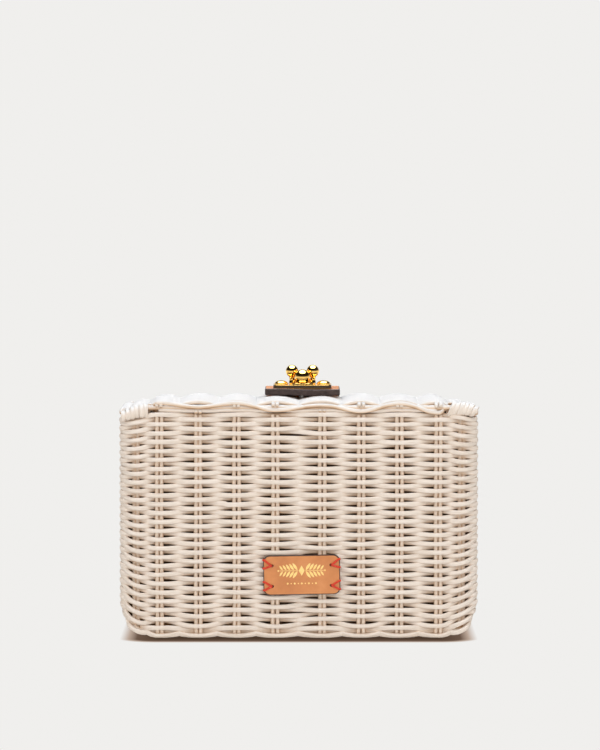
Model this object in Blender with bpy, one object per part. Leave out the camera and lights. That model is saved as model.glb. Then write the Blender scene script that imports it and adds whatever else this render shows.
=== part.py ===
"""Wicker box clutch bag: a woven basket with a hinged woven lid and a three-ball turn clasp.

Frame: metres, +Z up, origin in the middle of the underside. The plain back with the leather label
faces -Y, the opening side faces +Y, and the long side runs along X.
"""

from math import cos, pi, radians, sin, sqrt

import bmesh
import bpy
from mathutils import Vector

MM = 0.001

# Driving dimensions of the basket
WIDTH = 235 * MM
DEPTH = 80 * MM
LID_TOP = 156 * MM
WEAVE = 8 * MM
PLAN_RADIUS = 13 * MM
END_BEND = 18 * MM
LONG_BEND = 9 * MM
GAP = 0.3 * MM

# Levels that follow from them
HALF_X = WIDTH / 2
HALF_Y = DEPTH / 2
FLOOR = WEAVE
BORDER_TOP = 8.7 * MM
LID_BOTTOM = 146.9 * MM
RIM_TOP = LID_BOTTOM - 0.4 * MM
RIM_HEIGHT = 5 * MM
RIM_BOTTOM = RIM_TOP - RIM_HEIGHT
LINING = 0.8 * MM
LINING_BEND = 12 * MM

# Hinge: a rod in the back edge of the lid turns in two bindings of reed
HINGE_Y = -HALF_Y + 4 * MM
HINGE_Z = LID_BOTTOM + 3.9 * MM
HINGE_ROD = 2 * MM
WRAP_RADIUS = 4 * MM
WRAP_INNER = 97 * MM
WRAP_OUTER = 116.5 * MM
WRAP_TURNS = 6
LID_BORDER = 10 * MM

# Clasp, on a leather strap that comes over the front of the lid
CLASP_X = 2.4 * MM
CLASP_Y = 14 * MM
STRAP_WIDTH = 49.6 * MM
STRAP_THICK = 4.2 * MM
STRAP_BACK = 0 * MM
STRAP_DROP = 30 * MM
STRAP_TOP = LID_TOP + GAP + STRAP_THICK
PLATE_X = 38.5 * MM
PLATE_Y = 22 * MM
PLATE_THICK = 2.4 * MM
PLATE_TOP = STRAP_TOP + GAP + PLATE_THICK
RIVET_SPACING = 14 * MM
RIVET_RADIUS = 4.6 * MM
RIVET_SHANK = 1.5 * MM
SHAFT_RADIUS = 2.5 * MM
BORE_RADIUS = SHAFT_RADIUS + 0.4 * MM

# Latch under the lid
LINING_BOTTOM = LID_BOTTOM - GAP - LINING
WASHER_TOP = LINING_BOTTOM - GAP
WASHER_THICK = 0.8 * MM
CAM_TOP = WASHER_TOP - WASHER_THICK - GAP
CAM_THICK = 1.4 * MM
CAM_REACH = 14 * MM
NUT_TOP = CAM_TOP - CAM_THICK - GAP
NUT_THICK = 3 * MM
KEEPER_FACE = HALF_Y - WEAVE - LINING - 0.7 * MM
KEEPER_THICK = 1.2 * MM
KEEPER_WIDTH = 18 * MM
KEEPER_HEIGHT = 13 * MM
LIP_THICK = 0.8 * MM
LIP_DEPTH = 6.5 * MM

# Label on the back
LABEL_X = 1.9 * MM
LABEL_Z = 42 * MM
LABEL_WIDTH = 49.7 * MM
LABEL_HEIGHT = 26 * MM
LABEL_THICK = 2 * MM
LABEL_FACE = -HALF_Y - GAP - LABEL_THICK
HOLE_X = 19.3 * MM
HOLE_Z = 6.8 * MM
THREAD = 0.45 * MM


# ---------------------------------------------------------------- materials


def material(name, colour, roughness, metallic=0.0):
    made = bpy.data.materials.new(name)
    made.use_nodes = True
    shader = made.node_tree.nodes["Principled BSDF"]
    shader.inputs["Base Color"].default_value = (*colour, 1)
    shader.inputs["Roughness"].default_value = roughness
    shader.inputs["Metallic"].default_value = metallic
    return made


def painted_reed(name):
    return material(name + "_painted_reed", (0.80, 0.71, 0.61), 0.45)


def tan_leather(name):
    return material(name + "_tan_leather", (0.55, 0.25, 0.11), 0.5)


def polished_gold(name):
    return material(name + "_polished_gold", (0.85, 0.58, 0.2), 0.12, 1.0)


def plated_steel(name):
    return material(name + "_plated_steel", (0.62, 0.6, 0.56), 0.3, 1.0)


def brown_cloth(name):
    return material(name + "_brown_cloth", (0.16, 0.08, 0.045), 0.85)


def red_thread(name):
    return material(name + "_red_thread", (0.75, 0.08, 0.03), 0.7)


# ---------------------------------------------------------------- geometry


def add_mesh(name, build, finish, origin=(0, 0, 0), smooth=True):
    """An object whose mesh the function build(bm) fills in world places, with its origin at origin."""
    bm = bmesh.new()
    build(bm)
    bmesh.ops.recalc_face_normals(bm, faces=bm.faces)
    bmesh.ops.translate(bm, verts=bm.verts, vec=-Vector(origin))
    mesh = bpy.data.meshes.new(name)
    bm.to_mesh(mesh)
    bm.free()
    made = bpy.data.objects.new(name, mesh)
    made.location = origin
    bpy.context.scene.collection.objects.link(made)
    if finish:
        mesh.materials.append(finish(name))
    if smooth:
        mesh.shade_smooth()
        mesh.set_sharp_from_angle(angle=radians(35))
    return made


def rounded_rectangle(half_x, half_y, radius, steps=6):
    """Points of a rounded rectangle, counter-clockwise, as pairs."""
    points = []
    for corner, (sx, sy) in enumerate(((1, 1), (-1, 1), (-1, -1), (1, -1))):
        for step in range(steps + 1):
            angle = (corner + step / steps) * pi / 2
            x = sx * (half_x - radius) + radius * cos(angle)
            y = sy * (half_y - radius) + radius * sin(angle)
            points.append((x, y))
    return points


def skin(bm, rings, around=False):
    """Faces between rings of equally many points; around joins the last ring to the first."""
    loops = [[bm.verts.new(point) for point in ring] for ring in rings]
    pairs = list(zip(loops, loops[1:]))
    if around:
        pairs.append((loops[-1], loops[0]))
    for low, high in pairs:
        for i in range(len(low)):
            j = (i + 1) % len(low)
            bm.faces.new((low[i], low[j], high[j], high[i]))
    if not around:
        bm.faces.new(loops[0])
        bm.faces.new(loops[-1])


def basket_ring(inset_x, inset_y, z):
    """The basket's plan, drawn in by these insets, at height z."""
    radius = max(PLAN_RADIUS - min(inset_x, inset_y), 2.5 * MM)
    plan = rounded_rectangle(HALF_X - inset_x, HALF_Y - inset_y, radius)
    return [(x, y, z) for x, y in plan]


def bend(radius, z):
    """How far a bottom edge of this radius has drawn in at height z."""
    if z >= radius:
        return 0.0
    return radius - sqrt(radius**2 - (radius - z) ** 2)


def outer_ring(z):
    return basket_ring(bend(END_BEND, z), bend(LONG_BEND, z), z)


def inner_ring(z):
    rise = z - WEAVE
    inset_x = WEAVE + bend(END_BEND - WEAVE, rise)
    inset_y = WEAVE + bend(LONG_BEND - WEAVE, rise)
    return basket_ring(inset_x, inset_y, z)


def prism(bm, outline, low, high, bevel=0.0):
    """An upright prism on an outline of pairs, with its two rims drawn in by bevel."""
    middle = Vector((sum(x for x, y in outline), sum(y for x, y in outline))) / len(outline)
    half = max((Vector(p) - middle).length for p in outline)
    small = [middle + (Vector(p) - middle) * (1 - bevel / half) for p in outline]
    rings = [[(x, y, low + bevel) for x, y in outline], [(x, y, high - bevel) for x, y in outline]]
    if bevel:
        rings.insert(0, [(x, y, low) for x, y in small])
        rings.append([(x, y, high) for x, y in small])
    skin(bm, rings)


def lathe(bm, profile, centre, segments=24):
    """A turned solid on an upright axis; profile is (radius, z) from one end to the other."""
    turn = [2 * pi * i / segments for i in range(segments)]
    rings = []
    for radius, z in profile:
        rings.append([(centre[0] + radius * cos(a), centre[1] + radius * sin(a), z) for a in turn])
    skin(bm, rings)


def disc(centre, radius, low, high, bevel=0.0, segments=24):
    profile = [(radius, low + bevel), (radius, high - bevel)]
    if bevel:
        profile = [(radius - bevel, low), *profile, (radius - bevel, high)]
    return lambda bm: lathe(bm, profile, centre, segments)


def ball(centre, radius, segments=20):
    def build(bm):
        bmesh.ops.create_uvsphere(bm, u_segments=segments, v_segments=segments // 2, radius=radius)
        bmesh.ops.translate(bm, verts=bm.verts, vec=Vector(centre))

    return build


def box(low, high):
    def build(bm):
        size = Vector(high) - Vector(low)
        bmesh.ops.create_cube(bm, size=1)
        bmesh.ops.scale(bm, vec=size, verts=bm.verts)
        bmesh.ops.translate(bm, verts=bm.verts, vec=(Vector(high) + Vector(low)) / 2)

    return build


def circle_x(x, y, z, radius, segments=16):
    """A circle whose axis runs along X."""
    turn = [2 * pi * i / segments for i in range(segments)]
    return [(x, y + radius * cos(a), z + radius * sin(a)) for a in turn]


def rod_x(start, end, radius):
    """A round rod along the hinge axis."""
    rings = [circle_x(x, HINGE_Y, HINGE_Z, radius) for x in (start, end)]
    return lambda bm: skin(bm, rings)


def cut(made, name, build):
    """Cuts the shape that build makes out of an object."""
    cutter = add_mesh(name, build, None, smooth=False)
    cutter.hide_render = True
    cutter.display_type = "WIRE"
    modifier = made.modifiers.new(name, "BOOLEAN")
    modifier.operation = "DIFFERENCE"
    modifier.solver = "EXACT"
    modifier.object = cutter


# ---------------------------------------------------------------- woven basket


def make_bottom_border():
    levels = (0, 0.5 * MM, 1.6 * MM, 3.2 * MM, 5.6 * MM, BORDER_TOP)
    rings = [outer_ring(z) for z in levels]
    rings.append(inner_ring(BORDER_TOP))
    rings.append(basket_ring(END_BEND, LONG_BEND, FLOOR))
    add_mesh("bottom_border", lambda bm: skin(bm, rings, around=True), painted_reed)


def make_base_panel():
    rings = [basket_ring(END_BEND + GAP, LONG_BEND + GAP, z) for z in (0, FLOOR)]
    add_mesh("base_panel", lambda bm: skin(bm, rings), painted_reed)


def make_side_wall():
    low = BORDER_TOP + GAP
    high = RIM_BOTTOM - GAP
    levels = (low, 10.5 * MM, 13.5 * MM, END_BEND, high)
    rings = [outer_ring(z) for z in levels] + [inner_ring(z) for z in levels[::-1]]
    add_mesh("side_wall", lambda bm: skin(bm, rings, around=True), painted_reed)


def make_rim_border():
    rings = [outer_ring(RIM_BOTTOM), outer_ring(RIM_TOP - 1.5 * MM)]
    rings.append(basket_ring(1.5 * MM, 1.5 * MM, RIM_TOP))
    rings.append(basket_ring(WEAVE - 1.5 * MM, WEAVE - 1.5 * MM, RIM_TOP))
    rings += [inner_ring(RIM_TOP - 1.5 * MM), inner_ring(RIM_BOTTOM)]
    add_mesh("rim_border", lambda bm: skin(bm, rings, around=True), painted_reed)


def make_body_lining():
    """A cloth pouch that follows the inside of the basket with softer bends, open at the top."""
    low = FLOOR + GAP
    rises = (0, 0.7 * MM, 2.2 * MM, 4.5 * MM, 8 * MM, LINING_BEND, RIM_BOTTOM - low - MM)

    def wall(extra):
        rings = []
        for rise in rises:
            inset_x = WEAVE + extra + bend(LINING_BEND, rise)
            inset_y = WEAVE + extra + bend(LINING_BEND / 2, rise)
            rings.append(basket_ring(inset_x, inset_y, low + rise))
        return rings

    outside = wall(GAP)
    inside = wall(GAP + LINING)
    inside[0] = [(x, y, z + LINING) for x, y, z in inside[0]]
    inside[1] = [(x, y, z + LINING / 2) for x, y, z in inside[1]]
    add_mesh("body_lining", lambda bm: skin(bm, outside + inside[::-1]), brown_cloth)


def make_hinge_wraps():
    """Reed wound round the rod, a bulge for each turn, with a bore that the rod turns in."""
    for side, name in ((-1, "hinge_wrap_left"), (1, "hinge_wrap_right")):
        pitch = (WRAP_OUTER - WRAP_INNER) / WRAP_TURNS
        profile = [(WRAP_INNER, WRAP_RADIUS - 0.7 * MM)]
        for turn in range(WRAP_TURNS):
            start = WRAP_INNER + turn * pitch
            profile.append((start + 0.3 * pitch, WRAP_RADIUS))
            profile.append((start + 0.7 * pitch, WRAP_RADIUS))
            profile.append((start + pitch, WRAP_RADIUS - 0.7 * MM))
        bore = HINGE_ROD + GAP
        profile += [(WRAP_OUTER, bore), (WRAP_INNER, bore)]
        rings = [circle_x(side * x, HINGE_Y, HINGE_Z, radius) for x, radius in profile]
        add_mesh(name, lambda bm: skin(bm, rings, around=True), painted_reed)


# ---------------------------------------------------------------- lid

HINGE = (0, HINGE_Y, HINGE_Z)


def make_lid_border():
    """The lid's woven edge: its back rounds the hinge axis, so it turns clear of the rim."""
    section = (
        (LID_BORDER, LID_BOTTOM + 0.3 * MM),
        (4.0 * MM, LID_BOTTOM),
        (1.2 * MM, HINGE_Z - 2.8 * MM),
        (0, HINGE_Z),
        (1.2 * MM, HINGE_Z + 2.8 * MM),
        (3.4 * MM, HINGE_Z + 4.5 * MM),
        (6.0 * MM, LID_TOP),
        (LID_BORDER, LID_TOP),
    )
    rings = [basket_ring(inset, inset, z) for inset, z in section]
    made = add_mesh("lid_border", lambda bm: skin(bm, rings, around=True), painted_reed, HINGE)
    tunnel = HINGE_ROD + GAP
    clear = WRAP_RADIUS + 0.5 * MM
    cut(made, "cut_hinge_tunnel", rod_x(-HALF_X - 5 * MM, HALF_X + 5 * MM, tunnel))
    for side, name in ((-1, "left"), (1, "right")):
        near = side * (WRAP_INNER - 0.4 * MM)
        far = side * (HALF_X + 5 * MM)
        low = (min(near, far), HINGE_Y - 9 * MM, HINGE_Z - 9 * MM)
        high = (max(near, far), HINGE_Y + clear, HINGE_Z + 9 * MM)
        cut(made, f"cut_wrap_{name}", box(low, high))


def make_lid_panel():
    inset = LID_BORDER + GAP
    bottom = LID_BOTTOM + 0.3 * MM
    rings = [basket_ring(inset, inset, z) for z in (bottom, LID_TOP)]
    made = add_mesh("lid_panel", lambda bm: skin(bm, rings), painted_reed, HINGE)
    cut(made, "cut_panel_bore", disc((CLASP_X, CLASP_Y), BORE_RADIUS, bottom - MM, LID_TOP + MM))


def make_lid_hinge_rod():
    add_mesh("lid_hinge_rod", rod_x(-WRAP_OUTER - MM, WRAP_OUTER + MM, HINGE_ROD), painted_reed, HINGE)


def make_lid_lining():
    inset = WEAVE + 2 * MM
    rings = [basket_ring(inset, inset, z) for z in (LINING_BOTTOM, LINING_BOTTOM + LINING)]
    made = add_mesh("lid_lining", lambda bm: skin(bm, rings), brown_cloth, HINGE)
    bore = disc((CLASP_X, CLASP_Y), BORE_RADIUS, LINING_BOTTOM - MM, LID_BOTTOM + MM)
    cut(made, "cut_lining_bore", bore)


# ---------------------------------------------------------------- clasp on the lid


def make_clasp_strap():
    """Thick leather that lies on the lid, bends over its front edge and hangs down the front."""
    inner = 3 * MM
    face = HALF_Y + 0.6 * MM
    bottom = LID_TOP + GAP
    end = LID_TOP - STRAP_DROP
    steps = 8
    under = [(STRAP_BACK, bottom)]
    over = [(STRAP_BACK, bottom + STRAP_THICK)]
    for step in range(steps + 1):
        angle = pi / 2 * (1 - step / steps)
        centre = (face - inner, bottom - inner)
        outer = inner + STRAP_THICK
        under.append((centre[0] + inner * cos(angle), centre[1] + inner * sin(angle)))
        over.append((centre[0] + outer * cos(angle), centre[1] + outer * sin(angle)))
    under.append((face, end))
    over.append((face + STRAP_THICK, end))
    outline = under + over[::-1]
    half = STRAP_WIDTH / 2
    rings = [[(CLASP_X + side * half, y, z) for y, z in outline] for side in (-1, 1)]
    made = add_mesh("clasp_strap", lambda bm: skin(bm, rings), tan_leather, HINGE)
    for name, x, radius in clasp_bores():
        cut(made, f"cut_strap_{name}", disc((x, CLASP_Y), radius, LID_TOP - MM, STRAP_TOP + MM))


def clasp_bores():
    rivet = RIVET_SHANK + GAP
    return (
        ("centre", CLASP_X, BORE_RADIUS),
        ("left", CLASP_X - RIVET_SPACING, rivet),
        ("right", CLASP_X + RIVET_SPACING, rivet),
    )


def make_clasp_plate():
    outline = rounded_rectangle(PLATE_X / 2, PLATE_Y / 2, 3 * MM)
    outline = [(CLASP_X + x, CLASP_Y + y) for x, y in outline]
    low = STRAP_TOP + GAP
    made = add_mesh(
        "clasp_plate", lambda bm: prism(bm, outline, low, PLATE_TOP, 0.4 * MM), polished_gold, HINGE
    )
    for name, x, radius in clasp_bores():
        cut(made, f"cut_plate_{name}", disc((x, CLASP_Y), radius, low - MM, PLATE_TOP + MM))


def make_clasp_rivets():
    """Domed rivets whose shanks go through the plate and the leather."""
    base = PLATE_TOP + GAP
    for side, name in ((-1, "clasp_rivet_left"), (1, "clasp_rivet_right")):
        profile = [(RIVET_SHANK, LID_TOP + 2 * GAP), (RIVET_SHANK, base), (RIVET_RADIUS, base)]
        for step in range(1, 6):
            angle = step / 6 * pi / 2
            profile.append((RIVET_RADIUS * cos(angle), base + 2.3 * MM * sin(angle)))
        centre = (CLASP_X + side * RIVET_SPACING, CLASP_Y)
        add_mesh(name, lambda bm: lathe(bm, profile, centre), polished_gold, HINGE)


# ---------------------------------------------------------------- turning knob

KNOB = (CLASP_X, CLASP_Y, PLATE_TOP)
BALLS = (
    ("knob_ball_left", -6.9 * MM, 2.2 * MM, 8.5 * MM, 4.15 * MM),
    ("knob_ball_right", 6.9 * MM, 2.2 * MM, 8.5 * MM, 4.15 * MM),
    ("knob_ball_middle", 0 * MM, -5.4 * MM, 5.6 * MM, 5.0 * MM),
)


def make_knob_turret():
    """A turned boss with a seat for each of the three balls."""
    base = PLATE_TOP + GAP
    profile = [
        (8.8 * MM, base),
        (8.8 * MM, base + 1.2 * MM),
        (8.0 * MM, base + 3.6 * MM),
        (5.4 * MM, base + 4.8 * MM),
        (5.0 * MM, base + 6.6 * MM),
        (3.0 * MM, base + 8.0 * MM),
    ]
    made = add_mesh("knob_turret", lambda bm: lathe(bm, profile, KNOB), polished_gold, KNOB)
    for name, x, y, z, radius in BALLS:
        centre = (CLASP_X + x, CLASP_Y + y, PLATE_TOP + z)
        cut(made, f"cut_seat_{name}", ball(centre, radius + GAP))


def make_knob_balls():
    for name, x, y, z, radius in BALLS:
        centre = (CLASP_X + x, CLASP_Y + y, PLATE_TOP + z)
        add_mesh(name, ball(centre, radius), polished_gold, KNOB)


def make_latch_shaft():
    low = NUT_TOP - NUT_THICK - 0.8 * MM
    add_mesh("knob_shaft", disc(KNOB, SHAFT_RADIUS, low, PLATE_TOP, 0.3 * MM), plated_steel, KNOB)


def ring_piece(name, outline, low, high):
    """A flat piece on this outline with a hole that the shaft goes through."""
    made = add_mesh(name, lambda bm: prism(bm, outline, low, high), plated_steel, KNOB)
    cut(made, "cut_" + name, disc(KNOB, SHAFT_RADIUS + GAP, low - MM, high + MM))


def make_latch_washer():
    turn = [2 * pi * i / 24 for i in range(24)]
    outline = [(CLASP_X + 6 * MM * cos(a), CLASP_Y + 6 * MM * sin(a)) for a in turn]
    ring_piece("latch_washer", outline, WASHER_TOP - WASHER_THICK, WASHER_TOP)


def make_latch_cam():
    """An arm that points along X when the clasp is open and turns under the keeper's lip."""
    hub = 4.8 * MM
    tip = 3.2 * MM
    outline = []
    for step in range(11):
        angle = pi / 2 + pi * step / 10
        outline.append((CLASP_X + hub * cos(angle), CLASP_Y + hub * sin(angle)))
    for step in range(9):
        angle = -pi / 2 + pi * step / 8
        outline.append((CLASP_X + CAM_REACH - tip + tip * cos(angle), CLASP_Y + tip * sin(angle)))
    ring_piece("latch_cam", outline, CAM_TOP - CAM_THICK, CAM_TOP)


def make_latch_nut():
    turn = [pi / 3 * i for i in range(6)]
    outline = [(CLASP_X + 4.6 * MM * cos(a), CLASP_Y + 4.6 * MM * sin(a)) for a in turn]
    ring_piece("latch_nut", outline, NUT_TOP - NUT_THICK, NUT_TOP)


# ---------------------------------------------------------------- keeper on the basket


def make_keeper():
    """A bent plate inside the front wall: its lip holds the cam down."""
    half = KEEPER_WIDTH / 2
    back = KEEPER_FACE - KEEPER_THICK
    lip_top = CAM_TOP + GAP + LIP_THICK
    section = (
        (KEEPER_FACE, lip_top - KEEPER_HEIGHT),
        (KEEPER_FACE, lip_top),
        (back - LIP_DEPTH, lip_top),
        (back - LIP_DEPTH, lip_top - LIP_THICK),
        (back, lip_top - LIP_THICK),
        (back, lip_top - KEEPER_HEIGHT),
    )
    rings = [[(CLASP_X + side * half, y, z) for y, z in section] for side in (-1, 1)]
    made = add_mesh("latch_keeper", lambda bm: skin(bm, rings), plated_steel)
    height = lip_top - 0.7 * KEEPER_HEIGHT
    for side, name in ((-1, "keeper_rivet_left"), (1, "keeper_rivet_right")):
        x = CLASP_X + side * 5.5 * MM
        add_mesh(name, lambda bm: keeper_rivet(bm, x, height, back), plated_steel)
        cut(made, "cut_" + name, lambda bm: pin_y(bm, x, height, back - MM, KEEPER_FACE + MM, 1.3 * MM))


def pin_y(bm, x, z, start, end, radius):
    turn = [2 * pi * i / 16 for i in range(16)]
    rings = [[(x + radius * cos(a), y, z + radius * sin(a)) for a in turn] for y in (start, end)]
    skin(bm, rings)


def keeper_rivet(bm, x, z, face):
    """A domed head on the plate, on a shank that sits in the plate's hole."""
    turn = [2 * pi * i / 16 for i in range(16)]
    profile = (
        (1.0 * MM, KEEPER_FACE - 0.1 * MM),
        (1.0 * MM, face - GAP),
        (2.2 * MM, face - GAP),
        (2.0 * MM, face - GAP - 0.5 * MM),
        (1.1 * MM, face - GAP - 0.9 * MM),
    )
    rings = [[(x + r * cos(a), y, z + r * sin(a)) for a in turn] for r, y in profile]
    skin(bm, rings)


# ---------------------------------------------------------------- label on the back


def make_label():
    outline = rounded_rectangle(LABEL_WIDTH / 2, LABEL_HEIGHT / 2, 4 * MM)
    faces = (LABEL_FACE, LABEL_FACE + LABEL_THICK)
    rings = [[(LABEL_X + x, y, LABEL_Z + z) for x, z in outline] for y in faces]
    made = add_mesh("label_patch", lambda bm: skin(bm, rings), tan_leather)
    for side_x, side_z, name in label_corners():
        x = LABEL_X + side_x * HOLE_X
        z = LABEL_Z + side_z * HOLE_Z
        ends = (LABEL_FACE - MM, LABEL_FACE + LABEL_THICK + MM)
        cut(made, "cut_hole_" + name, lambda bm: pin_y(bm, x, z, *ends, 0.9 * MM))
        make_stitch("label_stitch_" + name, x, z, side_x)


def label_corners():
    return ((-1, 1, "top_left"), (1, 1, "top_right"), (-1, -1, "low_left"), (1, -1, "low_right"))


def make_stitch(name, x, z, side):
    """A thread that runs from the label's end edge to the hole and back, as a flat V."""
    face = LABEL_FACE - GAP
    reach = LABEL_WIDTH / 2 - HOLE_X - 0.5 * MM
    spread = 2.4 * MM
    outline = (
        (-1.4 * THREAD, 0),
        (reach, spread + THREAD),
        (reach, spread - THREAD),
        (1.4 * THREAD, 0),
        (reach, -spread + THREAD),
        (reach, -spread - THREAD),
    )
    levels = (face - 2 * THREAD, face)
    rings = [[(x + side * u, y, z + v) for u, v in outline] for y in levels]
    add_mesh(name, lambda bm: skin(bm, rings), red_thread)


def clear_scene():
    for old in list(bpy.data.objects):
        bpy.data.objects.remove(old, do_unlink=True)


clear_scene()
make_bottom_border()
make_base_panel()
make_side_wall()
make_rim_border()
make_body_lining()
make_hinge_wraps()
make_lid_border()
make_lid_panel()
make_lid_hinge_rod()
make_lid_lining()
make_clasp_strap()
make_clasp_plate()
make_clasp_rivets()
make_knob_turret()
make_knob_balls()
make_latch_shaft()
make_latch_washer()
make_latch_cam()
make_latch_nut()
make_keeper()
make_label()
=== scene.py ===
"""Looks of the wicker box clutch bag: every reed, the leather, the gilt clasp and the linings."""

import random
from math import cos, pi, radians, sin, sqrt

import bmesh
import bpy
import numpy as np
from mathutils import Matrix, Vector


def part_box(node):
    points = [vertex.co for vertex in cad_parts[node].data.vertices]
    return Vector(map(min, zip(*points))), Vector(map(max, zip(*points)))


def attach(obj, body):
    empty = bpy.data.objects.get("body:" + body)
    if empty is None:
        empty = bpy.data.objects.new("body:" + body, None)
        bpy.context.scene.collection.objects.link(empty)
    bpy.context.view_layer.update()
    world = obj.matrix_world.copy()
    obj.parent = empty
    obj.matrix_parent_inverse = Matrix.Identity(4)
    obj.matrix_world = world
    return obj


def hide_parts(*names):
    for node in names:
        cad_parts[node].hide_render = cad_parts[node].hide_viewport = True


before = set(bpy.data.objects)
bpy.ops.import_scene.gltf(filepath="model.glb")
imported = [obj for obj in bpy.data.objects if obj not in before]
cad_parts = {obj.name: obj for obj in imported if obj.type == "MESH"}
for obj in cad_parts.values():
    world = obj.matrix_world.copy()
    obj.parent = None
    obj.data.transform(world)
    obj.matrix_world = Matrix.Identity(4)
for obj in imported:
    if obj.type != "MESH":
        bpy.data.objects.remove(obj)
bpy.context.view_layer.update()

MM = 0.001
rng = random.Random(7)

# ------------------------------------------------------------------ sizes, from the frame

wall_low, wall_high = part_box("side_wall")
rim_low, rim_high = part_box("rim_border")
lid_low, lid_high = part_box("lid_border")
rod_low, rod_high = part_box("lid_hinge_rod")
HALF_X = wall_high.x
HALF_Y = wall_high.y
PLAN_RADIUS = 13 * MM
END_BEND = 25 * MM
LONG_BEND = 4 * MM
RIM_TOP = rim_high.z
HINGE_Y = (rod_low.y + rod_high.y) / 2
HINGE_Z = (rod_low.z + rod_high.z) / 2

# The weave: round reed over pairs of thin stakes
REED_OUT = 1.3 * MM
STAKE = 1.25 * MM
STAKE_WIDE = 1.36 * MM
STAKE_SPREAD = 1.54 * MM
SWING = REED_OUT + STAKE - 0.1 * MM
HALF_WEAVE = SWING + REED_OUT
ROW_PITCH = 2.94 * MM
FILL = 0.505
CROSSING_FILL = 0.075
SAG = 0.35 * MM
ROWS = 50
BASE_ROWS = 10
STEP = 1.5 * MM
SIDES = 12
SQUARENESS = 2.8

# The lowest and highest rows, as heights of their middles
FOOT = 1.6 * MM
END_RISE = 11 * MM
TOP_ROW = RIM_TOP - ROW_PITCH / 2 + 1.0 * MM
RIM_DROOP = 3.3 * MM
RIM_WAVE = 0.8 * MM
END_CALM = 0.25
CORNER_OUT = 1.0
CORNER_SINK = 2.2 * MM
BASE_SUNK = 1.4 * MM

# Places of the stake pairs along a long side, from its middle, and along a short side
LONG_STAKES = [15.3 * MM, 40.6 * MM, 65.6 * MM, 91.0 * MM, 106.8 * MM]
SHORT_STAKES = [8.6 * MM, 25.6 * MM]


# ------------------------------------------------------------------ shader helpers


def new_material(name):
    made = bpy.data.materials.new(name)
    made.use_nodes = True
    nodes = made.node_tree.nodes
    return made, nodes, made.node_tree.links, nodes["Principled BSDF"]


def add_node(nodes, kind, **values):
    node = nodes.new(kind)
    for key, value in values.items():
        if key.startswith("in_"):
            node.inputs[key[3:].replace("_", " ")].default_value = value
        else:
            setattr(node, key, value)
    return node


def ramp(nodes, links, factor, stops):
    """A colour ramp fed by factor; stops are (place, colour)."""
    node = nodes.new("ShaderNodeValToRGB")
    elements = node.color_ramp.elements
    while len(elements) < len(stops):
        elements.new(0.5)
    for element, (place, colour) in zip(elements, stops):
        element.position = place
        element.color = (*colour, 1)
    links.new(factor, node.inputs["Fac"])
    return node.outputs["Color"]


def grey(value):
    return (value, value, value)


def noise(nodes, links, vector, scale, detail=4.0, roughness=0.6):
    node = add_node(nodes, "ShaderNodeTexNoise", in_Scale=scale, in_Detail=detail)
    node.inputs["Roughness"].default_value = roughness
    if vector:
        links.new(vector, node.inputs["Vector"])
    return node.outputs["Fac"]


def scaled(nodes, links, vector, scale):
    node = add_node(nodes, "ShaderNodeMapping")
    node.inputs["Scale"].default_value = scale
    links.new(vector, node.inputs["Vector"])
    return node.outputs["Vector"]


def blend_colour(nodes, links, factor, first, second, mode="MIX"):
    node = nodes.new("ShaderNodeMix")
    node.data_type = "RGBA"
    node.blend_type = mode
    for socket, value in ((node.inputs[0], factor), (node.inputs[6], first), (node.inputs[7], second)):
        if isinstance(value, (int, float)):
            socket.default_value = value
        elif isinstance(value, tuple):
            socket.default_value = (*value, 1)
        else:
            links.new(value, socket)
    return node.outputs[2]


def sum_of(nodes, links, first, second, operation="ADD"):
    node = nodes.new("ShaderNodeMath")
    node.operation = operation
    for socket, value in ((node.inputs[0], first), (node.inputs[1], second)):
        if isinstance(value, (int, float)):
            socket.default_value = value
        else:
            links.new(value, socket)
    return node.outputs[0]


def add_bump(nodes, links, shader, height, distance, strength=1.0):
    bump = add_node(nodes, "ShaderNodeBump", in_Distance=distance, in_Strength=strength)
    links.new(height, bump.inputs["Height"])
    links.new(bump.outputs["Normal"], shader.inputs["Normal"])


# ------------------------------------------------------------------ materials

# Painted light: the near-white that upward faces are blended towards, as if blown out by a strong lamp overhead.
PAINTED_TOP_LIGHT = (0.80, 0.785, 0.762)


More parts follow.
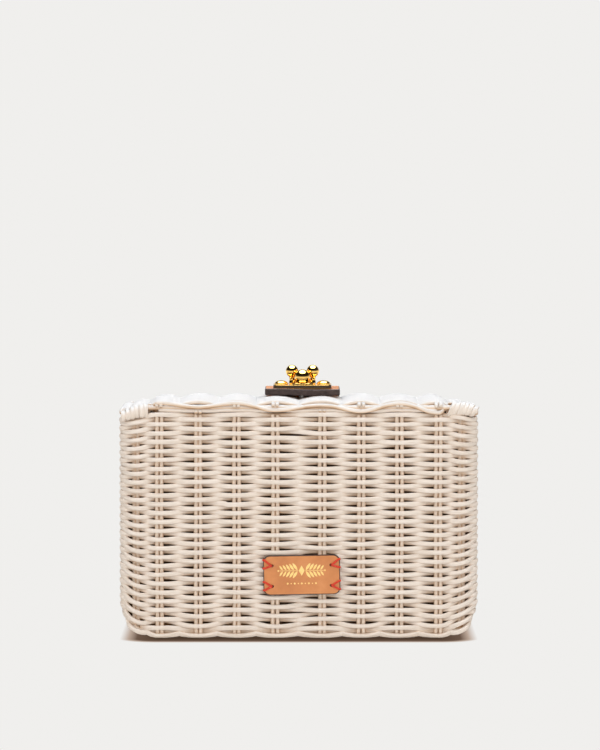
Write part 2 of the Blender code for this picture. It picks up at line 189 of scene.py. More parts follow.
def reed_material(name, top_painted_light):
    """Cream paint on rattan, streaky along the fibres. Each point's bare-cane value also carries painted shade: faces
    deep in the weave and turned inward get a darker, warmer tint and, deepest inside, turn to bare cane.

    The second argument, 0 to 1, is how much painted light whitens upward faces, as a strong lamp overhead would.
    """
    made, nodes, links, shader = new_material(name)
    grain = add_node(nodes, "ShaderNodeAttribute", attribute_name="grain").outputs["Vector"]
    bare = add_node(nodes, "ShaderNodeAttribute", attribute_name="bare").outputs["Fac"]
    place = nodes.new("ShaderNodeTexCoord").outputs["Object"]
    streaks = noise(nodes, links, scaled(nodes, links, grain, (60, 1500, 1)), 1.0, 5, 0.65)
    fibres = noise(nodes, links, scaled(nodes, links, grain, (25, 3800, 1)), 1.0, 3, 0.5)
    patches = noise(nodes, links, place, 45, 3)
    specks = noise(nodes, links, place, 1400, 2)
    paint = ramp(
        nodes,
        links,
        streaks,
        [(0.25, (0.70, 0.57, 0.455)), (0.5, (0.80, 0.685, 0.58)), (0.8, (0.87, 0.77, 0.68))],
    )
    cane = ramp(
        nodes, links, streaks, [(0.2, (0.15, 0.065, 0.025)), (0.55, (0.30, 0.15, 0.065)), (0.85, (0.45, 0.27, 0.13))]
    )
    wobble = sum_of(nodes, links, sum_of(nodes, links, streaks, 0.5, "SUBTRACT"), 0.6, "MULTIPLY")
    patchy = sum_of(nodes, links, sum_of(nodes, links, patches, 0.5, "SUBTRACT"), 0.8, "MULTIPLY")
    missing = sum_of(nodes, links, bare, sum_of(nodes, links, wobble, patchy))
    # Painted shade: the deeper and more inward a point, the darker and warmer its paint, and deepest inside it turns
    # to bare cane.
    recess_shade_tint = ramp(nodes, links, bare, [(0.08, (1.0, 1.0, 1.0)), (0.32, (0.92, 0.79, 0.65)), (0.75, (0.66, 0.44, 0.27))])
    parts = nodes.new("ShaderNodeSeparateXYZ")
    links.new(nodes.new("ShaderNodeNewGeometry").outputs["Normal"], parts.inputs["Vector"])
    # Painted light: faces turned upwards are whitened by the second argument's share.
    upward_painted_light = ramp(nodes, links, parts.outputs["Z"], [(0.2, grey(0)), (0.85, grey(top_painted_light))])
    paint = blend_colour(nodes, links, upward_painted_light, paint, PAINTED_TOP_LIGHT)
    shade_tinted = blend_colour(nodes, links, 1.0, paint, recess_shade_tint, "MULTIPLY")
    cover = ramp(nodes, links, missing, [(0.35, grey(0)), (0.95, grey(1))])
    links.new(blend_colour(nodes, links, cover, shade_tinted, cane), shader.inputs["Base Color"])
    shine = ramp(nodes, links, streaks, [(0.3, grey(0.58)), (0.75, grey(0.42))])
    links.new(shine, shader.inputs["Roughness"])
    shader.inputs["Specular IOR Level"].default_value = 0.3
    height = sum_of(nodes, links, fibres, sum_of(nodes, links, specks, 0.35, "MULTIPLY"))
    add_bump(nodes, links, shader, height, 0.12 * MM, 0.6)
    return made


def cloth_material():
    """Plain-woven dark brown cloth."""
    made, nodes, links, shader = new_material("brown_cloth")
    place = nodes.new("ShaderNodeTexCoord").outputs["Object"]
    waves = []
    for direction in ("X", "Y", "Z"):
        wave = add_node(nodes, "ShaderNodeTexWave", wave_type="BANDS", bands_direction=direction, in_Scale=420)
        wave.inputs["Distortion"].default_value = 0.6
        links.new(place, wave.inputs["Vector"])
        waves.append(wave.outputs["Fac"])
    weave = sum_of(nodes, links, sum_of(nodes, links, waves[0], waves[1]), waves[2])
    folds = noise(nodes, links, place, 40, 3)
    colour = ramp(nodes, links, folds, [(0.3, (0.045, 0.022, 0.012)), (0.7, (0.085, 0.045, 0.025))])
    links.new(colour, shader.inputs["Base Color"])
    shader.inputs["Roughness"].default_value = 0.9
    shader.inputs["Sheen Weight"].default_value = 0.3
    add_bump(nodes, links, shader, weave, 0.12 * MM, 0.5)
    return made


def leather_material():
    """Smooth tan leather with a fine pore grain."""
    made, nodes, links, shader = new_material("tan_leather")
    place = nodes.new("ShaderNodeTexCoord").outputs["Object"]
    tone = noise(nodes, links, place, 60, 4)
    colour = ramp(
        nodes, links, tone, [(0.25, (0.54, 0.19, 0.060)), (0.55, (0.66, 0.25, 0.082)), (0.8, (0.74, 0.31, 0.115))]
    )
    links.new(colour, shader.inputs["Base Color"])
    cells = add_node(nodes, "ShaderNodeTexVoronoi", in_Scale=1700)
    cells.feature = "DISTANCE_TO_EDGE"
    links.new(place, cells.inputs["Vector"])
    pores = ramp(nodes, links, cells.outputs["Distance"], [(0.0, grey(0)), (0.25, grey(1))])
    fine = noise(nodes, links, place, 2600, 2)
    height = sum_of(nodes, links, pores, fine)
    add_bump(nodes, links, shader, height, 0.05 * MM, 0.5)
    shine = ramp(nodes, links, fine, [(0.3, grey(0.42)), (0.7, grey(0.52))])
    links.new(shine, shader.inputs["Roughness"])
    return made


def edge_paint_material():
    """Thick dark brown paint on cut leather edges, a little uneven."""
    made, nodes, links, shader = new_material("dark_edge_paint")
    place = nodes.new("ShaderNodeTexCoord").outputs["Object"]
    ripple = noise(nodes, links, place, 300, 3)
    colour = ramp(nodes, links, ripple, [(0.3, (0.030, 0.016, 0.013)), (0.75, (0.075, 0.045, 0.038))])
    links.new(colour, shader.inputs["Base Color"])
    shader.inputs["Roughness"].default_value = 0.38
    add_bump(nodes, links, shader, ripple, 0.25 * MM, 0.5)
    return made


def gold_material():
    """Polished gilt brass with faint smudges and hairlines."""
    made, nodes, links, shader = new_material("polished_gold")
    place = nodes.new("ShaderNodeTexCoord").outputs["Object"]
    smudge = noise(nodes, links, place, 220, 4)
    lines = noise(nodes, links, scaled(nodes, links, place, (300, 3000, 3000)), 1.0, 2)
    colour = ramp(nodes, links, smudge, [(0.3, (0.93, 0.56, 0.13)), (0.7, (1.0, 0.68, 0.24))])
    links.new(colour, shader.inputs["Base Color"])
    shader.inputs["Metallic"].default_value = 1.0
    shine = ramp(nodes, links, smudge, [(0.35, grey(0.05)), (0.75, grey(0.13))])
    links.new(shine, shader.inputs["Roughness"])
    add_bump(nodes, links, shader, lines, 0.004 * MM, 0.3)
    return made


def plate_edge_reflection_material():
    """The plate's edge: brushed marks on a near-black colour, a painted reflection of the dark room in the polished
    edge.
    """
    made, nodes, links, shader = new_material("plate_edge_painted_reflection")
    place = nodes.new("ShaderNodeTexCoord").outputs["Object"]
    marks = noise(nodes, links, scaled(nodes, links, place, (300, 300, 4000)), 1.0, 3)
    colour = ramp(nodes, links, marks, [(0.3, (0.030, 0.016, 0.006)), (0.75, (0.085, 0.048, 0.016))])
    links.new(colour, shader.inputs["Base Color"])
    shader.inputs["Metallic"].default_value = 0.1
    shader.inputs["Roughness"].default_value = 0.45
    add_bump(nodes, links, shader, marks, 0.02 * MM, 0.4)
    return made


def foil_material():
    """Pressed gold foil, rougher than the metal."""
    made, nodes, links, shader = new_material("gold_foil")
    place = nodes.new("ShaderNodeTexCoord").outputs["Object"]
    wear = noise(nodes, links, place, 900, 3)
    colour = ramp(nodes, links, wear, [(0.3, (0.95, 0.60, 0.17)), (0.65, (1.0, 0.74, 0.30))])
    links.new(colour, shader.inputs["Base Color"])
    shader.inputs["Metallic"].default_value = 0.1
    links.new(ramp(nodes, links, wear, [(0.3, grey(0.30)), (0.7, grey(0.45))]), shader.inputs["Roughness"])
    add_bump(nodes, links, shader, wear, 0.03 * MM, 0.4)
    return made


def steel_material():
    """Satin nickel plate with fine turning marks."""
    made, nodes, links, shader = new_material("satin_steel")
    place = nodes.new("ShaderNodeTexCoord").outputs["Object"]
    marks = noise(nodes, links, scaled(nodes, links, place, (400, 400, 6000)), 1.0, 3)
    colour = ramp(nodes, links, marks, [(0.3, grey(0.45)), (0.7, (0.66, 0.64, 0.60))])
    links.new(colour, shader.inputs["Base Color"])
    shader.inputs["Metallic"].default_value = 1.0
    links.new(ramp(nodes, links, marks, [(0.3, grey(0.25)), (0.7, grey(0.4))]), shader.inputs["Roughness"])
    add_bump(nodes, links, shader, marks, 0.02 * MM, 0.4)
    return made


def thread_material():
    """Waxed orange-red thread with twisted plies."""
    made, nodes, links, shader = new_material("red_thread")
    grain = add_node(nodes, "ShaderNodeAttribute", attribute_name="grain").outputs["Vector"]
    wave = add_node(nodes, "ShaderNodeTexWave", wave_type="BANDS", bands_direction="DIAGONAL", in_Scale=700)
    links.new(grain, wave.inputs["Vector"])
    colour = ramp(nodes, links, wave.outputs["Fac"], [(0.1, (0.50, 0.018, 0.008)), (0.7, (0.86, 0.075, 0.025))])
    links.new(colour, shader.inputs["Base Color"])
    shader.inputs["Roughness"].default_value = 0.5
    add_bump(nodes, links, shader, wave.outputs["Fac"], 0.15 * MM, 0.8)
    return made


REED = reed_material("painted_reed", 0.0)
# The lid's copy whitens its upward faces with painted light; the walls' copy does not.
LID_PAINT_LIT_TOP = reed_material("painted_reed_lid_lit_top", 0.8)
CLOTH = cloth_material()
LEATHER = leather_material()
EDGE_PAINT = edge_paint_material()
GOLD = gold_material()
PLATE_EDGE_DARK_REFLECTION = plate_edge_reflection_material()
FOIL = foil_material()
STEEL = steel_material()
THREAD = thread_material()


# ------------------------------------------------------------------ reeds as swept tubes


def unit(rows):
    return rows / np.maximum(np.linalg.norm(rows, axis=1, keepdims=True), 1e-12)


class Reeds:
    """Collects swept reeds into one mesh, with each point's value of bare cane and painted shade, and how far along
    it is.
    """

    def __init__(self):
        self.points, self.faces, self.bare, self.grain = [], [], [], []
        self.count = 0

    def add(self, path, outs, half_up, half_out, closed=False, depth=None, sides=SIDES, taper=0.0):
        """Sweeps a slightly squared oval along path; outs points out of the woven surface at each place.

        half_up and half_out are the oval's half sizes along the surface and out of it. depth, -1 to 1,
        says how far out of the weave each place lies; deeper places get more painted shade. taper rounds the ends of
        an open reed.
        """
        path = np.asarray(path, float)
        number = len(path)
        outs = np.broadcast_to(np.asarray(outs, float), path.shape)
        half_up = np.broadcast_to(np.asarray(half_up, float), number).copy()
        half_out = np.broadcast_to(np.asarray(half_out, float), number).copy()
        depth = np.zeros(number) if depth is None else np.broadcast_to(depth, number)
        if closed:
            ahead = np.roll(path, -1, axis=0) - np.roll(path, 1, axis=0)
        else:
            ahead = np.gradient(path, axis=0)
        along = unit(ahead)
        side = unit(outs - (outs * along).sum(1, keepdims=True) * along)
        up = np.cross(along, side)
        if taper and not closed:
            half_up[[0, -1]] *= 1 - taper
            half_out[[0, -1]] *= 1 - taper
        turn = 2 * pi * np.arange(sides) / sides
        squared_out = np.sign(np.cos(turn)) * np.abs(np.cos(turn)) ** (2 / SQUARENESS)
        squared_up = np.sign(np.sin(turn)) * np.abs(np.sin(turn)) ** (2 / SQUARENESS)
        across = side[:, None] * (squared_out[None, :, None] * half_out[:, None, None])
        across = across + up[:, None] * (squared_up[None, :, None] * half_up[:, None, None])
        rings = path[:, None] + across
        self.points.append(rings.reshape(-1, 3))
        # Painted shade together with bare cane: faces turned away from the outside, and places deep in the weave,
        # lose paint and get a darker, warmer tint.
        facing = (unit(across.reshape(-1, 3)) * np.repeat(outs, sides, axis=0)).sum(1)
        level = np.repeat(depth, sides) + np.tile(np.cos(turn), number) * 0.33
        self.bare.append(np.clip(0.34 - 0.30 * facing - 0.6 * level, 0, 1))
        steps = np.linalg.norm(np.diff(path, axis=0), axis=1)
        travel = np.concatenate([[0], np.cumsum(steps)]) + rng.random() * 10
        grain = np.empty((number, sides, 3))
        grain[..., 0] = travel[:, None]
        grain[..., 1] = np.abs(turn - pi)[None, :] * REED_OUT
        grain[..., 2] = rng.random() * 50
        self.grain.append(grain.reshape(-1, 3))
        start = self.count
        rows = np.arange(number if closed else number - 1)
        low = start + rows[:, None] * sides + np.arange(sides)[None]
        low_next = start + rows[:, None] * sides + (np.arange(sides)[None] + 1) % sides
        rise = ((rows + 1) % number - rows)[:, None] * sides
        quads = np.stack([low, low_next, low_next + rise, low + rise], axis=-1).reshape(-1, 4)
        self.faces += quads.tolist()
        if not closed:
            self.faces.append([start + k for k in range(sides)][::-1])
            self.faces.append([start + (number - 1) * sides + k for k in range(sides)])
        self.count += number * sides

    def finish(self, name, material, body, replaced=(), slot="painted_reed"):
        mesh = bpy.data.meshes.new(name)
        mesh.from_pydata(np.concatenate(self.points).tolist(), [], self.faces)
        bare = mesh.attributes.new("bare", "FLOAT", "POINT")
        bare.data.foreach_set("value", np.concatenate(self.bare))
        grain = mesh.attributes.new("grain", "FLOAT_VECTOR", "POINT")
        grain.data.foreach_set("vector", np.concatenate(self.grain).ravel())
        mesh.materials.append(material)
        mesh.shade_smooth()
        made = bpy.data.objects.new(name, mesh)
        bpy.context.scene.collection.objects.link(made)
        if replaced:
            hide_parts(*replaced)
        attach(made, body)
        return made


def slow_noise(places, length, size, waves=4):
    """A smooth random curve along a closed path of this length."""
    total = np.zeros_like(places)
    for wave in range(waves):
        turns = rng.randint(2, 5 + 6 * wave)
        total += np.sin(2 * pi * turns * places / length + rng.random() * 2 * pi) / waves
    return total * size * 1.6


# ------------------------------------------------------------------ surface of the basket

CORE_X = HALF_X - PLAN_RADIUS
CORE_Y = HALF_Y - PLAN_RADIUS
ARC = (PLAN_RADIUS - HALF_WEAVE) * pi / 2
LENGTH = 4 * (CORE_X + CORE_Y + ARC)


def plan(places):
    """Core point and outward direction of the plan at each distance from the middle of the back."""
    places = np.mod(places, LENGTH)
    core = np.zeros((len(places), 2))
    angle = np.zeros(len(places))
    walked = 0.0
    legs = (
        (CORE_X, (0, -CORE_Y), (CORE_X, -CORE_Y), -90, -90),
        (ARC, (CORE_X, -CORE_Y), (CORE_X, -CORE_Y), -90, 0),
        (2 * CORE_Y, (CORE_X, -CORE_Y), (CORE_X, CORE_Y), 0, 0),
        (ARC, (CORE_X, CORE_Y), (CORE_X, CORE_Y), 0, 90),
        (2 * CORE_X, (CORE_X, CORE_Y), (-CORE_X, CORE_Y), 90, 90),
        (ARC, (-CORE_X, CORE_Y), (-CORE_X, CORE_Y), 90, 180),
        (2 * CORE_Y, (-CORE_X, CORE_Y), (-CORE_X, -CORE_Y), 180, 180),
        (ARC, (-CORE_X, -CORE_Y), (-CORE_X, -CORE_Y), 180, 270),
        (CORE_X, (-CORE_X, -CORE_Y), (0, -CORE_Y), 270, 270),
    )
    for length, start, end, first, last in legs:
        inside = (places >= walked) & (places <= walked + length)
        share = ((places[inside] - walked) / length)[:, None]
        core[inside] = (1 - share) * np.array(start) + share * np.array(end)
        angle[inside] = np.radians(first + share[:, 0] * (last - first))
        walked += length
    return core, np.stack([np.cos(angle), np.sin(angle)], axis=1)


def bend_radius(out):
    """The bottom edge's radius: large at the ends, smaller along the long sides."""
    return END_BEND * out[:, 0] ** 2 + LONG_BEND * out[:, 1] ** 2


def surface(places, rises, depth):
    """Points depth inside the outer surface, rises along it from where the flat base ends, and normals."""
    core, out = plan(places)
    radius = bend_radius(out)
    turned = np.clip(rises / radius, 0, pi / 2)
    inset = radius * (1 - np.sin(turned)) + np.maximum(-rises, 0)
    height = radius * (1 - np.cos(turned)) + np.maximum(rises - radius * pi / 2, 0)
    corner = np.maximum(PLAN_RADIUS - inset, 2.5 * MM)
    across_x = np.maximum(HALF_X - inset - corner, 0) / CORE_X
    across_y = np.maximum(HALF_Y - inset - corner, 0) / CORE_Y
    flat = np.stack([core[:, 0] * across_x, core[:, 1] * across_y], axis=1)
    corner = np.minimum(corner, np.maximum(HALF_Y - inset, 0.2 * MM))
    flat = flat + out * corner[:, None]
    normal = np.column_stack([out * np.sin(turned)[:, None], -np.cos(turned)])
    points = np.column_stack([flat, height])
    return points - normal * np.reshape(depth, (-1, 1)), normal


def rise_at(places, heights):
    """The distance along the outer surface at which a reed lying just inside it has these heights."""
    _, out = plan(places)
    radius = bend_radius(out)
    curved = radius * np.arccos(np.clip((radius - heights) / (radius - REED_OUT), -1, 1))
    return np.where(heights < radius, curved, radius * pi / 2 + heights - radius)


def stake_places():
    """Distances of the stake pairs round the plan, in order."""
    found = []
    back = [-place for place in reversed(LONG_STAKES)] + LONG_STAKES
    side_middle = CORE_X + ARC + CORE_Y
    ends = [-place for place in reversed(SHORT_STAKES)] + SHORT_STAKES
    half = LENGTH / 2
    for place in back:
        found.append(place % LENGTH)
        found.append((half + place) % LENGTH)
    for place in ends:
        found.append((side_middle + place) % LENGTH)
        found.append((half + side_middle + place) % LENGTH)
    return sorted(found)


STAKES = stake_places()


def over_under(places, first):
    """1 where a row passes outside a stake, -1 where inside, with a smooth swing between."""
    stops = np.array([STAKES[-1] - LENGTH, *STAKES, STAKES[0] + LENGTH])
    count = np.arange(-1, len(STAKES) + 1)
    swing = np.cos(pi * (np.interp(np.mod(places, LENGTH), stops, count) + first))
    return swing * (1.15 - 0.15 * swing**2)


def from_middle(places):
    """Distance along the plan from the middle of the nearer long side."""
    around = np.mod(places, LENGTH / 2)
    return np.minimum(around, LENGTH / 2 - around)


def eased(values, start, stretch):
    """0 up to start, then a smooth climb to 1 over stretch."""
    share = np.clip((values - start) / stretch, 0, 1)
    return share**2 * (3 - 2 * share)


def end_curve(x):
    """Height of the underside at x: flat, then curving up towards the ends."""
    beyond = np.clip(np.abs(x) - (HALF_X - END_BEND), 0, END_BEND)
    return END_BEND - np.sqrt(END_BEND**2 - beyond**2)


def foot_height(places):
    """Height of the lowest row: on the floor along the long sides, rising round the ends."""
    core, out = plan(places)
    return FOOT + END_RISE * (1 - np.exp(-end_curve(core[:, 0] + out[:, 0] * PLAN_RADIUS) / END_RISE))


def top_height(places):
    """Height of the highest row, a little lower at the ends."""
    return TOP_ROW - RIM_DROOP * eased(from_middle(places), 92 * MM, 24 * MM)


# Small faults: place along the back, height, half length, how far the rows part
FAULTS = (
    (0 * MM, 132.3 * MM, 8 * MM, 0.8 * MM),
    (1.5 * MM, 16.6 * MM, 7 * MM, 0.7 * MM),
    (6 * MM, 56 * MM, 9 * MM, 0.4 * MM),
    (-83 * MM, 38 * MM, 7 * MM, 0.5 * MM),
    (-52 * MM, 88 * MM, 9 * MM, 0.35 * MM),
    (71 * MM, 64 * MM, 9 * MM, 0.35 * MM),
)


def parted(places, heights):
    """How far rows are pushed up or down round the faults."""
    along = np.where(places > LENGTH / 2, places - LENGTH, places)
    total = np.zeros_like(places)
    for place, height, half, size in FAULTS:
        away = heights - height
        near = np.exp(-(((along - place) / half) ** 2)) * np.exp(-np.abs(away) / (7 * MM))
        total += size * np.sign(away) * near
    return total


def row_key(row):
    """Which piece a row belongs to."""
    if row < 0:
        return "base"
    if row < 3:
        return "foot"
    return "rim" if row > ROWS - 2 else "wall"


def make_rows():
    """All closed rows of the basket, from the middle of the base to the rim."""
    groups = {"base": Reeds(), "foot": Reeds(), "wall": Reeds(), "rim": Reeds()}
    number = int(LENGTH / STEP)
    places = np.arange(number) * LENGTH / number
    _, out = plan(places)
    outward = np.column_stack([out, np.zeros(number)])
    swing_size = SWING * (1 - END_CALM * out[:, 0] ** 2)
    corner = np.exp(-(((from_middle(places) - CORE_X - ARC) / (6.5 * MM)) ** 2))
    rim_wave = RIM_WAVE * out[:, 1] ** 2
    foot = foot_height(places)
    pitch = (top_height(places) - foot) / ROWS
    for row in range(-BASE_ROWS, ROWS + 1):
        swing = over_under(places, row % 2)
        wander = slow_noise(places, LENGTH, 0.22 * MM)
        thick = 1 + rng.uniform(-0.05, 0.05) + slow_noise(places, LENGTH, 0.04)
        if row < 0:
            rises = rise_at(places, foot) + ROW_PITCH * (row - 1) - 1.5 * MM + wander
            points, normals = surface(places, rises, HALF_WEAVE - SWING * swing + BASE_SUNK)
            points[:, 2] = np.maximum(points[:, 2], end_curve(points[:, 0]) + REED_OUT + BASE_SUNK)
        else:
            from_rim = np.exp(-(ROWS - row) / 1.3)
            heights = foot + pitch * row + swing * (rim_wave * from_rim - SAG * (row > 1))
            if row == 0:
                heights = heights + pitch * (1 - swing) / 2
            elif row % 2:
                heights = heights - pitch * (1 + swing) / 2 * np.exp(-(row - 1) / 4.5)
            else:
                heights = heights - 0.8 * pitch * (1 - swing) / 2 * np.exp(-(row - 2) / 4.5)
            if row > 1:
                heights = heights + wander + parted(places, heights)
            swing = swing + (CORNER_OUT - swing) * corner * 0.85
            points, normals = surface(places, rise_at(places, heights), np.full(number, REED_OUT + 0.1 * MM))
            points = points - outward * (swing_size * (1 - swing))[:, None]
        crossing = np.maximum(1 - swing**2, corner)
        half_up = pitch * thick * (FILL + CROSSING_FILL * crossing + 0.05 * (row in (0, 1)))
        groups[row_key(row)].add(
            points, normals, half_up, REED_OUT * (0.5 + 0.5 * thick), closed=True, depth=swing * 0.67
        )
    return groups


def make_wall_stakes(reeds):
    """Pairs of thin rods up the walls, running on under the base."""
    top = rise_at(np.array([0.0]), np.array([RIM_TOP - 0.4 * MM]))[0]
    for place in STAKES:
        here = np.array([place])
        for side in (-1, 1):
            gap = side * (STAKE_SPREAD + rng.uniform(-0.12, 0.12) * MM)
            reach = rise_at(here, top_height(here) + rng.uniform(0, 0.6) * MM)[0]
            rises = np.arange(-27 * MM, reach, 2.5 * MM)
            rises = np.append(rises, reach)
            lean = np.sin(rises / top * pi * 2 + rng.random() * 6) * 0.15 * MM
            places = place + gap + lean
            at_corner = abs(from_middle(place) - LONG_STAKES[-1]) < MM
            depth = np.full(len(rises), HALF_WEAVE + CORNER_SINK * at_corner)
            points, normals = surface(places, rises, depth)
            points[:, 2] = np.maximum(points[:, 2], end_curve(points[:, 0]) + HALF_WEAVE)
            # The stakes' depth sets how much painted shade they take: a warm tan between the rows.
            reeds.add(points, normals, STAKE_WIDE, STAKE, depth=-0.48, taper=0.3)


def make_basket_weave():
    groups = make_rows()
    stakes = Reeds()
    make_wall_stakes(stakes)
    groups["base"].finish("base_reeds", REED, "basket", ["base_panel"])
    groups["foot"].finish("foot_reeds", REED, "basket", ["bottom_border"])
    groups["wall"].finish("wall_reeds", REED, "basket", ["side_wall"])
    groups["rim"].finish("rim_reeds", REED, "basket", ["rim_border"])
    stakes.finish("wall_stakes", REED, "basket")


make_basket_weave()


# ------------------------------------------------------------------ lid

LID_SWING = 2.7 * MM
LID_REED = 1.4 * MM
LID_DROOP = 5.0 * MM
LID_MIDDLE = HINGE_Z + 0.7 * MM
EDGE_ROW = HALF_Y - LID_REED
BACK_ROW = 0.7 * MM - EDGE_ROW
FRAME_INSET = 4.2 * MM
FRAME_ROD = 1.6 * MM
FRAME_X = HALF_X - FRAME_INSET
FRAME_Y = HALF_Y - FRAME_INSET
NOTCH_ROW = HINGE_Y + 3.1 * MM
MAIN_START = HINGE_Y + 6.0 * MM
MAIN_ROWS = 23
ROD_REACH = 107 * MM
LID_STAKES = [-place for place in reversed(LONG_STAKES)] + LONG_STAKES

# Along the back edge the stakes end at uneven heights. Two of them pass under the hinge rod, the rest
# over it, and the edge reed passes over or under their ends.
STAKE_ENDS = [z * MM for z in (0, 151.1, 148.2, 150.9, 151.9, 149.3, 151.3, 150.6, 150.3, 0)]
UNDER_ROD = (2, 5)
EDGE_OVER = (1, 2, 3, 5, 7)


def crown(x, y):
    """The lid is a little higher in the middle and drops towards its ends."""
    return 0.5 * MM * (1 - (y / HALF_Y) ** 2) - LID_DROOP * lid_end(x)


def lid_end(x):
    """0 over most of the lid, rising to 1 at its ends."""
    return np.clip((np.abs(x) - 85 * MM) / (HALF_X - 85 * MM), 0, 1) ** 1.25


def frame_reach(y):
    """How far along X the lid's frame lies at this depth."""
    bend = FRAME_Y - CORE_Y
    beyond = y - CORE_Y
    if beyond <= 0:
        return FRAME_X
    return CORE_X + sqrt(max(bend**2 - beyond**2, 0)) if beyond < bend else CORE_X


def lid_row(y, direction, row, reach, last):
    """A row across the lid, over and under the stakes, out to the frame at reach on both sides.

    last is the stake number that the frame takes at its right end.
    """
    inner = [place for place in LID_STAKES if abs(place) < reach - 4 * MM]
    stops = [-reach, *inner, reach]
    numbers = np.arange(last - len(inner) - 1, last + 1)
    x = np.arange(-reach, reach, STEP)
    x = np.append(x, reach)
    swing = np.cos(pi * (np.interp(x, stops, numbers) + 1 + row))
    z = LID_MIDDLE + LID_SWING * (1 - 0.6 * lid_end(x)) * swing + crown(x, y)
    line = np.column_stack([x, np.full(len(x), y), z])
    line[:, 1] += slow_noise(x + reach, 2 * reach, 0.12 * MM)
    return (line, swing) if direction > 0 else (line[::-1], swing[::-1])


def edge_row(reach):
    """The outermost reed of the back edge, over or under each pair of stake ends."""
    numbers = range(1, len(LID_STAKES) - 1)
    clear = STAKE + LID_REED
    heights = [STAKE_ENDS[k] + (clear + 0.4 * MM if k in EDGE_OVER else -clear) for k in numbers]
    x = np.append(np.arange(-reach, reach, STEP), reach)
    place = np.interp(x, [LID_STAKES[k] for k in numbers], range(len(heights)))
    low = np.minimum(place.astype(int), len(heights) - 2)
    share = (1 - np.cos(pi * (place - low))) / 2
    heights = np.array(heights)
    z = heights[low] * (1 - share) + heights[low + 1] * share
    swing = (z - LID_MIDDLE) / LID_SWING
    return np.column_stack([x, np.full(len(x), BACK_ROW), z]), swing


def turn_round(start, end, side):
    """A half turn round the frame from the end of one row to the start of the next."""
    count = 7
    share = np.linspace(0, 1, count + 2)[1:-1]
    x = start[0] + side * LID_SWING * np.sin(pi * share)
    x = x + (end[0] - start[0]) * share
    y = start[1] + (end[1] - start[1]) * share
    middle = (start[2] + end[2]) / 2
    z = middle + (start[2] - middle) * np.cos(pi * share)
    return np.column_stack([x, y, z])


def weave_lid_rows(reeds, lines, closed=False):
    """One reed going back and forth along the rows, each a line and its swing."""
    paths, swings = [], []
    for row, (line, swing) in enumerate(lines):
        if paths:
            bend = turn_round(paths[-1][-1], line[0], 1 if row % 2 else -1)
            paths.append(bend)
            swings.append(np.full(len(bend), 0.3))
        paths.append(line)
        swings.append(swing)
    if closed:
        bend = turn_round(paths[-1][-1], paths[0][0], -1)
        paths.append(bend)
        swings.append(np.full(len(bend), 0.3))
    path = np.concatenate(paths)
    reach = np.abs(np.clip(np.concatenate(swings), -1, 1))
    reeds.add(path, (0, 0, 1), LID_REED, LID_REED, closed=closed, depth=reach * 0.55)


def make_lid_rows():
    edge, panel = Reeds(), Reeds()
    notch = LONG_STAKES[3] + 0.4 * MM
    weave_lid_rows(edge, [edge_row(notch), lid_row(NOTCH_ROW, -1, 1, notch, 8)], closed=True)
    rows = []
    for row in range(MAIN_ROWS):
        y = MAIN_START + (FRAME_Y - 2.9 * MM - MAIN_START) * row / (MAIN_ROWS - 1)
        rows.append(lid_row(y, 1 if row % 2 == 0 else -1, row, frame_reach(y), 10))
    weave_lid_rows(panel, rows)
    weave_lid_rows(edge, [lid_row(EDGE_ROW, 1, 1, CORE_X - 8 * MM, 9)])
    x = np.arange(-notch, notch, STEP)
    z = HINGE_Z - 1.7 * MM + slow_noise(x + notch, 2 * notch, 0.2 * MM)
    low_line = np.column_stack([x, np.full(len(x), HINGE_Y - 0.9 * MM), z])
    edge.add(low_line, (0, -0.8, -0.6), 1.2 * MM, 1.2 * MM, depth=0.2, taper=0.3)
    edge.finish("lid_edge_reeds", LID_PAINT_LIT_TOP, "lid", ["lid_border"])
    panel.finish("lid_panel_reeds", LID_PAINT_LIT_TOP, "lid", ["lid_panel"])


def make_lid_stakes():
    """Pairs of rods from the front of the lid to the back, where they pass over or under the hinge rod."""
    reeds = Reeds()
    clear = FRAME_ROD + STAKE
    for number, (place, end) in enumerate(zip(LID_STAKES, STAKE_ENDS)):
        outer = abs(place) > 100 * MM
        for side in (-1, 1):
            x = place + side * (STAKE + rng.uniform(0.05, 0.2) * MM)
            back = HINGE_Y + 4.8 * MM if outer else -HALF_Y + rng.uniform(0.7, 1.2) * MM
            front = FRAME_Y - 1 * MM if outer else HALF_Y - rng.uniform(0.3, 0.9) * MM
            y = np.append(np.arange(back, front, 1.2 * MM), front)
            z = LID_MIDDLE + crown(np.full(len(y), x), y) + rng.uniform(-0.3, 0.3) * MM
            if not outer:
                towards = np.clip((HINGE_Y + 5 * MM - y) / (5 * MM), 0, 1)
                bow = HINGE_Z - clear if number in UNDER_ROD else HINGE_Z + clear - 0.2 * MM
                z = z + (bow - z) * towards**2 * (3 - 2 * towards)
                beyond = np.clip((HINGE_Y - y) / (HINGE_Y + HALF_Y), 0, 1)
                z = z + (end - z) * beyond**1.3
            line = np.column_stack([np.full(len(y), x), y, z])
            reeds.add(line, (0, 0, 1), STAKE, STAKE, depth=0.35, taper=0.25)
    reeds.finish("lid_stakes", LID_PAINT_LIT_TOP, "lid")


def make_lid_frame():
    """The bent rod that the rows turn round at the ends and the front."""
    bend = FRAME_Y - CORE_Y
    back = HINGE_Y + 4.8 * MM
    right = [(FRAME_X, y) for y in np.arange(back, CORE_Y, 2 * MM)]
    corner = [(CORE_X + bend * cos(a), CORE_Y + bend * sin(a)) for a in np.linspace(0, pi / 2, 9)]
    straight = [(x, FRAME_Y) for x in np.arange(CORE_X - 3 * MM, 0, -3 * MM)]
    half = right + corner + straight
    loop = half + [(-x, y) for x, y in half[::-1]]
    path = [(x, y, LID_MIDDLE + float(crown(np.array(x), y))) for x, y in loop]
    reeds = Reeds()
    reeds.add(path, (0, 0, 1), FRAME_ROD, FRAME_ROD, depth=0.2)
    reeds.finish("lid_frame_reed", LID_PAINT_LIT_TOP, "lid")


